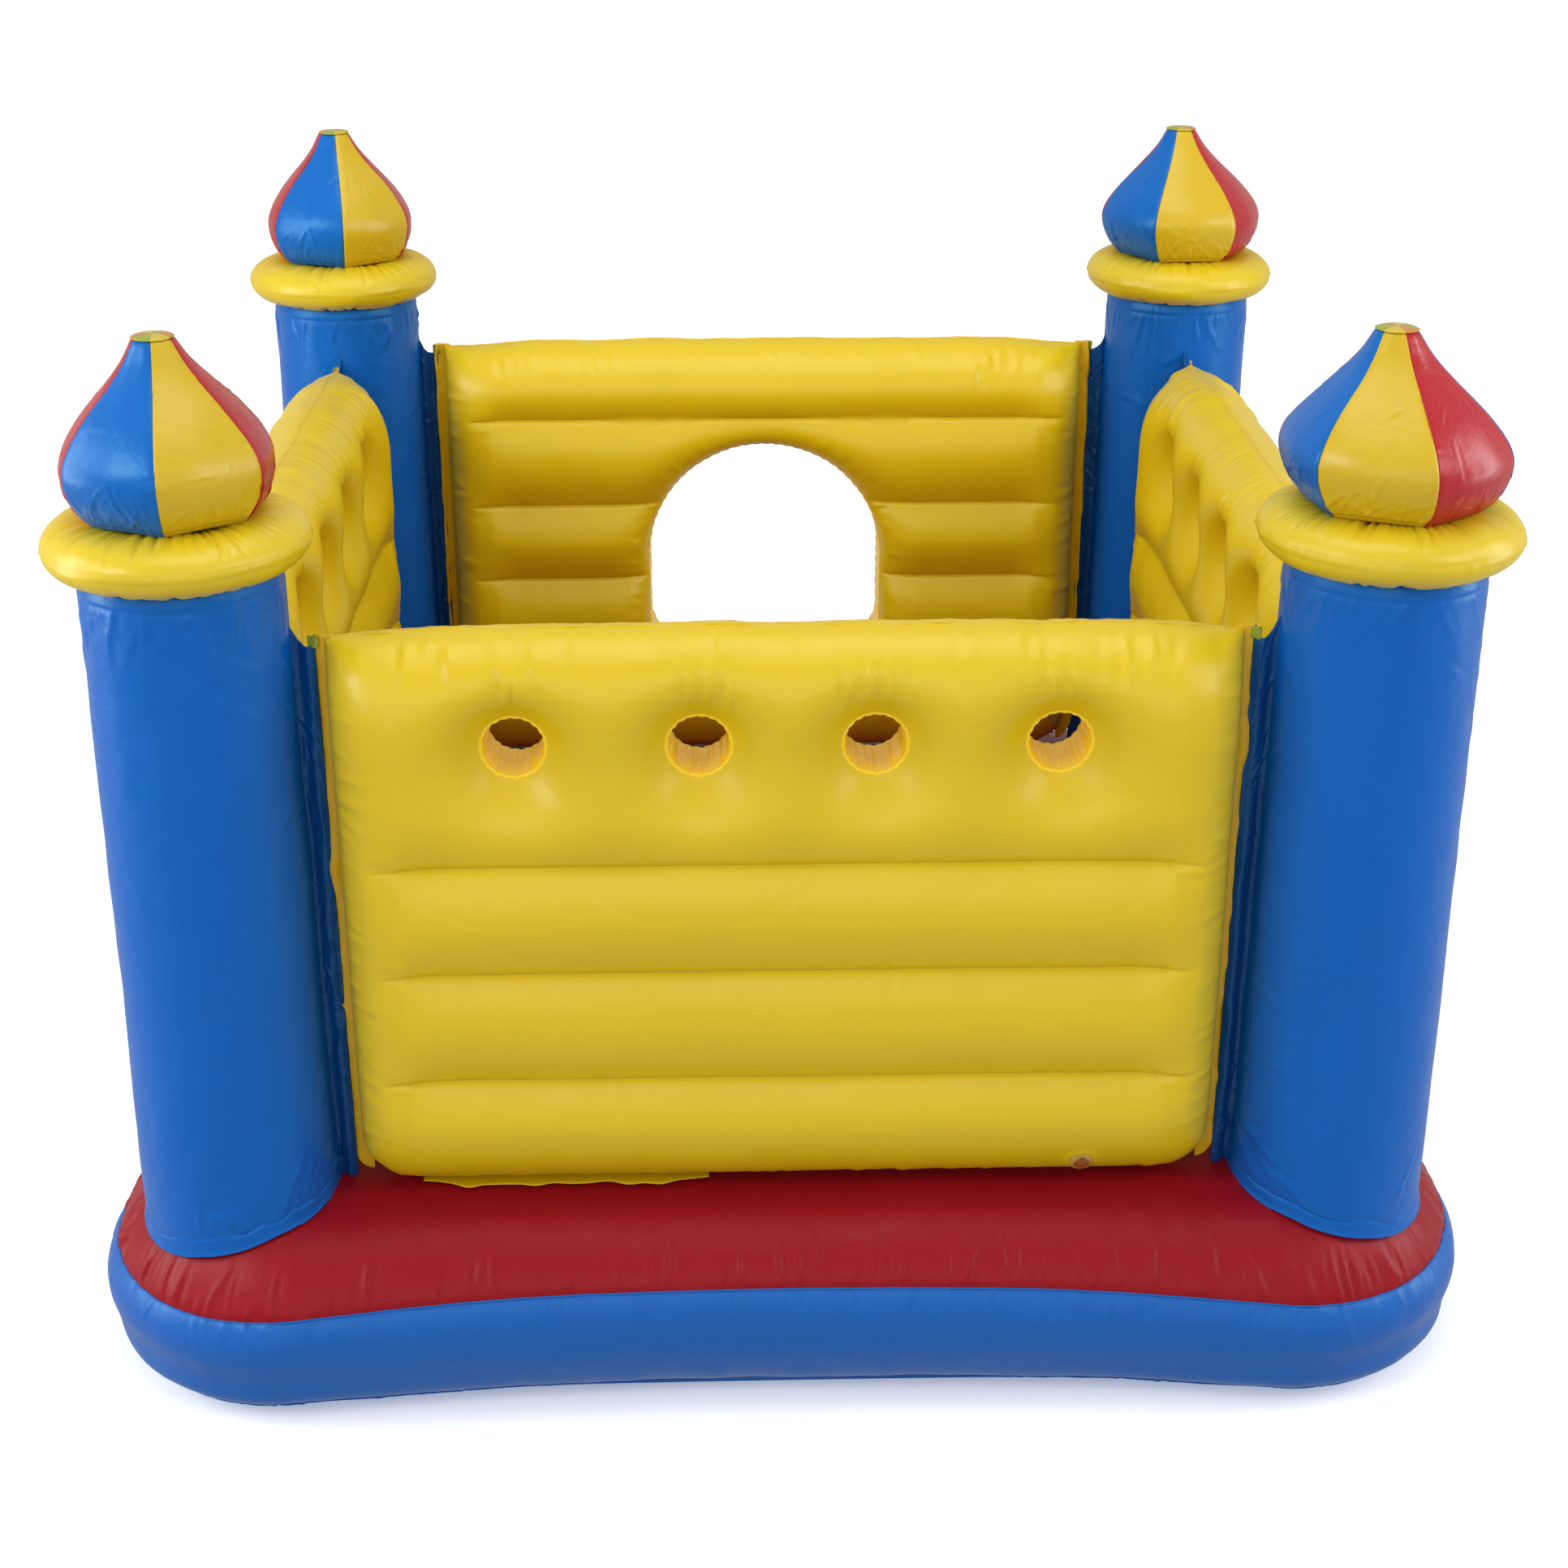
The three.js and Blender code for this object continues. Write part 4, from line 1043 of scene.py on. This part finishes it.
    # drop cells with no air in them
    thick = (faces_y[0] - faces_y[1]).ravel()
    fa = fa[(thick[fa] > 1e-6).any(axis=1)]
    verts = np.vstack([va, vb])
    verts = turn(verts + np.array([0, WALL_MID, 0]), angle)
    o = build(f"wall_{name}_skin", verts, [np.vstack([fa, fa[:, ::-1] + nu * nv])], M["wall"], weld=1e-6)
    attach(o, "root")
    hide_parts(f"wall_{name}")

    # liners with gathered middle and a rolled weld at each rim
    rs = np.random.default_rng(seed + 60)
    parts_v, parts_f, off = [], [], 0

    def liner(cx, cz, radius_fn, rim, n, pleats, depth, bead):
        nonlocal off
        a = np.arange(n) / n * TAU
        # section from the outer rim, over the bead, through the bore and back: (radial offset, y)
        sec = [(0.0045, rim - 0.004), (0.0042, rim + 0.35 * bead), (0.0022, rim + bead), (0.0, rim + 0.9 * bead), (-0.0016, rim - 0.1 * bead)]
        inner = [(-0.0006, y) for y in np.linspace(rim - 0.004, -(rim - 0.004), 17)]
        sec = np.array(sec + inner + [(q, -y) for q, y in sec[::-1]])
        k = np.arange(pleats)
        at = (k + rs.uniform(-0.3, 0.3, pleats)) / pleats * TAU
        amp = rs.uniform(0.4, 1.0, pleats)
        ph = np.zeros((n, len(sec)))
        yy = sec[:, 1][None, :]
        for a0, am in zip(at, amp):
            d = ((a[:, None] - a0 + rs.normal(0, 0.03) * yy / rim + math.pi) % TAU - math.pi) * pleats / TAU
            ph += am * np.exp(-((d / 0.30) ** 2))
        mid = np.clip(1 - (yy / (rim - 0.002)) ** 4, 0, 1)
        # gathers stand into the bore, the bead is slightly scalloped
        rad = radius_fn(a)[:, None] + sec[:, 0][None, :] - depth * ph * mid
        scal = 0.0006 * np.cos(a * pleats + 1.3) + 0.0004 * vnoise(a / TAU * 30, 0 * a, seed + 71, 30)
        rad = rad + np.where(np.abs(yy) > rim - 0.003, 1, 0) * scal[:, None]
        p = np.stack([cx + rad * np.cos(a)[:, None], np.broadcast_to(yy, rad.shape), cz + rad * np.sin(a)[:, None]], -1)
        parts_v.append(p.reshape(-1, 3))
        parts_f.append(grid_faces(n, len(sec), wrap_u=True, offset=off))
        off += p.shape[0] * p.shape[1]

    if door:
        liner(*DOOR_C, door_radius, DOOR_RIM, 420, 70, 0.0024, 0.0032)
    else:
        for hx, hz in HOLES:
            liner(hx, hz, lambda a: np.full_like(a, HOLE_R), HOLE_RIM, 160, 20, 0.0046, 0.0014)
    verts = turn(np.vstack(parts_v) + np.array([0, WALL_MID, 0]), angle)
    o = build(f"wall_{name}_hole_liners" if not door else "wall_back_doorway_liner", verts, np.vstack(parts_f), M["liner"], outward=False)
    axis_pts = turn(np.array([[cx, WALL_MID, cz] for cx, cz in ([DOOR_C] if door else HOLES)]), angle)

    def towards_axis(c_, nn):
        q = axis_pts[np.argmin(((axis_pts - np.array(c_)) ** 2).sum(1))]
        d = q - np.array(c_)
        d -= np.dot(d, turn([0, 1.0, 0], angle)) * turn([0, 1.0, 0], angle)
        return float(np.dot(d, np.array(nn))) > 0

    face_way(o, towards_axis)
    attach(o, "root")

    # weld flange round the chamber: wide at both ends, narrow along the top and the bottom
    rs = np.random.default_rng(seed + 90)
    pv, pf, off = [], [], 0

    def strip(pts):
        nonlocal off
        pv.append(pts.reshape(-1, 3))
        pf.append(grid_faces(pts.shape[0], pts.shape[1], offset=off))
        off += pts.shape[0] * pts.shape[1]

    zz = np.linspace(Z_LOW + 0.001, Z_TOP + 0.0035, 210)
    for e in (-1, 1):
        xin = np.full_like(zz, X_END - 0.010)
        corner_b = 0.030 * (1 - np.clip(1 - (1 - np.clip((zz - Z_LOW) / 0.045, 0, 1)) ** 2, 0, 1) ** 0.5)
        xo = 0.5560 - corner_b + 0.0016 * vnoise(zz * 40 + 3 * e, 0 * zz, seed + 7) - 0.003 * sm(0.975, 1.0, zz)
        u = np.linspace(0, 1, 11)
        xx = xin[:, None] * (1 - u) + xo[:, None] * u
        wide = np.clip((xx - X_END) / (0.556 - X_END), 0, 1)
        y = wide * (0.0042 * vnoise(zz[:, None] * 13 + 20 + e, wide * 0.7, seed + 8) + 0.0022 * vnoise(zz[:, None] * 42 + 30 + e, wide * 1.5, seed + 9))
        y = y + 0.0022 * np.sin(wide * math.pi * 1.6 + 1.2 * vnoise(zz * 5 + e * 7, 0 * zz, seed + 10)[:, None]) * wide
        strip(np.stack([e * xx, y, zz[:, None] - top_warp(e * xx, zz[:, None], seed)], -1))
    xx = np.linspace(-0.535, 0.535, 280)
    puck = vnoise(xx * 34 + 5, 0 * xx, seed + 11) + 0.7 * vnoise(xx * 80 + 5, 0 * xx, seed + 12)
    u = np.linspace(0, 1, 6)
    z0, z1 = Z_TOP - 0.010, Z_TOP + 0.0012 + 0.0008 * puck
    zz2 = z0 * (1 - u)[None, :] + z1[:, None] * u[None, :]
    y = (0.0022 * puck)[:, None] * u[None, :] ** 1.5 * np.ones_like(zz2)
    strip(np.stack([np.broadcast_to(xx[:, None], zz2.shape), y, zz2 - top_warp(xx[:, None], zz2, seed)], -1))
    # bottom flap lies out over the deck
    xx = np.linspace(0.10, 0.465, 120) * (1 if name == "front" else -1)
    u = np.linspace(0, 1, 9)
    taper = sm(0.10, 0.17, np.abs(xx)) * (1 - sm(0.40, 0.465, np.abs(xx)))
    wid = 0.022 + (0.015 + 0.005 * vnoise(xx * 9 + 3, 0 * xx, seed + 13) + 0.004 * vnoise(xx * 44 + 3, 0 * xx, seed + 14)) * taper
    zdrop = 0.2605 - 0.0045 * u**0.7
    yv = -0.018 + wid[:, None] * u[None, :]
    zv = zdrop[None, :] + 0.0012 * vnoise(xx * 55 + 9, 0 * xx, seed + 15)[:, None] * u[None, :]
    strip(np.stack([np.broadcast_to(xx[:, None], yv.shape), yv + 0.018, zv], -1))
    verts = turn(np.vstack(pv) + np.array([0, WALL_MID, 0]), angle)
    # the two end strips take the flange material, painted orange for light shining through the sheet in shade; the top
    # strip and the bottom flap take the wall yellow
    idx = np.concatenate([np.full(len(f), 0 if n_ < 2 else 1) for n_, f in enumerate(pf)])
    o = build(f"wall_{name}_weld_flange", verts, np.vstack(pf), [M["flange"], M["wall"]], index=idx, outward=False)
    thicken(o, 0.0010)
    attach(o, "root")


WALLS = {"front": (math.pi, 401, "left", "right"), "left": (math.pi / 2, 431, "back", "front"),
         "right": (-math.pi / 2, 461, "front", "back"), "back": (0.0, 491, "right", "left")}


def make_web(wall, angle, end, e, seed):
    rows = np.linspace(0, 1, 200)
    u = np.linspace(0, 1, 22)
    zt = 0.984 + 0.032 * u**1.6 - 0.012 * np.sin(u * math.pi)
    zl = 0.2525 + 0 * u
    z = zl[None, :] * (1 - rows[:, None]) + zt[None, :] * rows[:, None]
    rt = 0.125 - 0.008 * (z - 0.15) / 0.9095
    x = 0.5505 + (0.698 - rt + 0.004 - 0.5505) * u[None, :]
    zc = z * 1.0
    y = 0.0055 * np.sin(u * math.pi)[None, :] * (np.sin(u * 5.2 + 0.6)[None, :] + 0.8 * vnoise(zc * 5 + seed, u[None, :] * 1.5, seed))
    y = y + 0.0022 * np.sin(u * math.pi)[None, :] * vnoise(zc * 26 + seed, u[None, :] * 2.5, seed + 1)
    rs = np.random.default_rng(seed)
    items = [(rs.uniform(0.002, 0.032), rs.uniform(0.26, 1.0), rs.normal(0, 0.35) if rs.random() < 0.6 else math.pi / 2 + rs.normal(0, 0.5), rs.uniform(0.012, 0.06), rs.uniform(0.0012, 0.0026), rs.uniform(0.0006, 0.0022)) for _ in range(60)]
    y = y + creases(x - 0.5505, zc, items) * np.sin(u * math.pi)[None, :] ** 0.5
    p = np.stack([e * x, y, z], -1)
    p = turn(p + np.array([0, WALL_MID, 0]), angle)
    o = build(f"web_{wall}_{end}_sheet", p, grid_faces(200, 22), M["web"], outward=False)
    thicken(o, 0.0009)
    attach(o, "root")
    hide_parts(f"web_{wall}_{end}")


def make_tab(wall, angle, end, e, seed):
    """Small end tab of the weld where a web meets the top of its wall."""
    u, v = np.meshgrid(np.linspace(0, 1, 9), np.linspace(0, 1, 9), indexing="ij")
    x = 0.5460 + 0.0125 * u
    z = 0.9800 + 0.0130 * v - 0.004 * u * (1 - v)
    y = 0.0024 + 0.0028 * np.sin(u * 3.0 + e) + 0.0016 * vnoise(u * 3 + seed, v * 3, seed)
    p = turn(np.stack([e * x, y, z], -1) + np.array([0, WALL_MID, 0]), angle)
    o = build(f"web_{wall}_{end}_tab", p, grid_faces(9, 9), M["tip_green"], outward=False)
    thicken(o, 0.0010)
    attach(o, "root")


for wname, (ang, seed, plus, minus) in WALLS.items():
    make_tab(wname, ang, plus, 1, seed + 1020)
    make_tab(wname, ang, minus, -1, seed + 1030)
    make_wall(wname, ang, seed)
    make_web(wname, ang, plus, 1, seed + 1000)
    make_web(wname, ang, minus, -1, seed + 1010)

# ---------------------------------------------------------------- valves
def lathe(prof, n=48):
    a = np.arange(n) / n * TAU
    prof = np.asarray(prof, float)
    return np.stack([prof[None, :, 0] * np.cos(a)[:, None], prof[None, :, 0] * np.sin(a)[:, None], np.broadcast_to(prof[None, :, 1], (n, len(prof)))], -1)


def valve(name, origin, lat, up, nrm):
    R = np.stack([lat, up, nrm], 1)

    def world(p):
        return p.reshape(-1, 3) @ R.T + origin

    g = 0.0003
    fl = [(0.0080, g + 0.0022), (0.0086, g + 0.0028), (0.0100, g + 0.0029), (0.0104, g + 0.0022), (0.0146, g + 0.0018), (0.0158, g + 0.0012), (0.0160, g + 0.0004), (0.0150, g),
          (0.0112, g), (0.0110, g - 0.001), (0.0110, -0.0235), (0.0104, -0.025), (0.0086, -0.025), (0.0080, -0.0243)]
    p = lathe(fl)
    o = build(f"valve_{name}_neck", world(p), grid_faces(48, len(fl), wrap_u=True, wrap_v=True), M["clear"])
    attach(o, f"valve_{name}")
    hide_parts(f"valve_{name}_body")
    low = g + 0.0025 + 0.0002 + 0.0003
    cap = [(0.0001, low + 0.0024), (0.0060, low + 0.0024), (0.0066, low + 0.0019), (0.0072, low + 0.0024), (0.0086, low + 0.0024), (0.0094, low + 0.0019), (0.0096, low + 0.0010), (0.0093, low + 0.0002), (0.0068, low),
           (0.0062, low - 0.001), (0.0056, -0.0030), (0.0048, -0.004), (0.0001, -0.004)]
    p = lathe(cap)
    vs = [p.reshape(-1, 3)]
    fs = [grid_faces(48, len(cap), wrap_u=True, wrap_v=False)]
    off = p.shape[0] * p.shape[1]
    # strap from the plug to its hinge
    t = np.linspace(0, 1, 9)
    yy = 0.0082 + t * 0.0040
    ww = 0.0030 - 0.0006 * np.sin(t * math.pi)
    box = []
    for y_, w_ in zip(yy, ww):
        box.append([(-w_, y_, low + 0.0004), (w_, y_, low + 0.0004), (w_, y_, low + 0.0018), (-w_, y_, low + 0.0018)])
    box = np.array(box)
    vs.append(box.reshape(-1, 3))
    fs.append(grid_faces(9, 4, wrap_v=True, offset=off))
    ends = np.array([[off, off + 1, off + 2, off + 3], [off + 35, off + 34, off + 33, off + 32]])
    fs.append(ends)
    o = build(f"valve_{name}_stopper", world(np.vstack(vs)), [np.vstack(fs)], M["plug"], weld=1e-5)
    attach(o, f"valve_{name}_cap")
    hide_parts(f"valve_{name}_plug")


for wname, (ang, *_rest) in WALLS.items():
    q = lambda v_: turn(np.asarray(v_, float), ang)
    valve(wname, q(V_SEAT + np.array([0, WALL_MID, 0])), q([-1.0, 0, 0]), q([0, math.sin(TILT), math.cos(TILT)]), q(V_N))
valve("base", VB, np.array([-1.0, 0, 0]), np.array([0, 0, 1.0]), np.array([0, 1.0, 0]))

# ---------------------------------------------------------------- stage and light
floor_mat = bpy.data.materials.new("studio_floor")
floor_mat.use_nodes = True
fn = floor_mat.node_tree
fb = fn.nodes["Principled BSDF"]
fb.inputs["Base Color"].default_value = (0.93, 0.95, 0.98, 1)
fb.inputs["Roughness"].default_value = 0.9
fb.inputs["Specular IOR Level"].default_value = 0.0
# painted light: the floor glows by itself; the glow set below rises from 0.24 near the middle to 0.60 beyond 2.6 m, so
# the far floor stays white where the lamps fall off while cast shadows near the object still show
fb.inputs["Emission Color"].default_value = (0.98, 0.99, 1.0, 1)
fb.inputs["Emission Strength"].default_value = 0.55
f_tc = fn.nodes.new("ShaderNodeTexCoord")
f_len = fn.nodes.new("ShaderNodeVectorMath")
f_len.operation = "LENGTH"
f_map = fn.nodes.new("ShaderNodeMapRange")
f_map.inputs["From Min"].default_value = 0.9
f_map.inputs["From Max"].default_value = 2.6
f_map.inputs["To Min"].default_value = 0.24
f_map.inputs["To Max"].default_value = 0.60
fn.links.new(f_tc.outputs["Object"], f_len.inputs[0])
fn.links.new(f_len.outputs["Value"], f_map.inputs["Value"])
fn.links.new(f_map.outputs[0], fb.inputs["Emission Strength"])
st = build("studio_floor", [(-60, -60, -0.0005), (60, -60, -0.0005), (60, 60, -0.0005), (-60, 60, -0.0005)], np.array([[0, 1, 2, 3]]), floor_mat)
st.visible_diffuse = False
st.visible_glossy = False

world = bpy.data.worlds.new("studio")
bpy.context.scene.world = world
world.use_nodes = True
wn = world.node_tree
wn.nodes.clear()
w_out = wn.nodes.new("ShaderNodeOutputWorld")
bg_seen = wn.nodes.new("ShaderNodeBackground")
bg_seen.inputs[0].default_value = (1, 1, 1, 1)
bg_seen.inputs[1].default_value = 1.05
bg_fill = wn.nodes.new("ShaderNodeBackground")
bg_fill.inputs[0].default_value = (1.0, 0.965, 0.93, 1)
bg_fill.inputs[1].default_value = 0.58
lp = wn.nodes.new("ShaderNodeLightPath")
mx = wn.nodes.new("ShaderNodeMixShader")
wn.links.new(lp.outputs["Is Camera Ray"], mx.inputs[0])
wn.links.new(bg_fill.outputs[0], mx.inputs[1])
wn.links.new(bg_seen.outputs[0], mx.inputs[2])
wn.links.new(mx.outputs[0], w_out.inputs[0])


def area(name, at, target, size, power, size_y=None, color=(1, 1, 1)):
    d = bpy.data.lights.new(name, "AREA")
    d.shape = "RECTANGLE"
    d.size = size
    d.size_y = size_y or size
    d.energy = power
    d.color = color
    o_ = bpy.data.objects.new(name, d)
    bpy.context.scene.collection.objects.link(o_)
    o_.location = at
    import mathutils

    o_.rotation_euler = (mathutils.Vector(target) - mathutils.Vector(at)).to_track_quat("-Z", "Y").to_euler()
    return o_


area("softbox_left", (-3.5, -2.9, 3.2), (0, 0, 0.6), 1.7, 54, 1.7)
area("softbox_right", (3.5, -2.9, 3.2), (0, 0, 0.6), 1.7, 38, 1.7)
area("softbox_top", (0, -0.6, 4.4), (0, -0.1, 0), 2.6, 42, 2.6)
area("front_fill", (-0.5, -5.2, 2.4), (0, 0, 0.6), 3.6, 28, 2.4)
area("strip_left", (-3.3, -0.7, 1.5), (-0.7, -0.2, 0.8), 0.9, 42, 2.4)
area("strip_right", (3.3, -0.7, 1.5), (0.7, -0.2, 0.8), 0.9, 34, 2.4)

sc = bpy.context.scene
sc.view_settings.view_transform = "Standard"
sc.view_settings.look = "None"
sc.view_settings.exposure = 0.0
sc.view_settings.gamma = 1.0

bpy.context.view_layer.update()
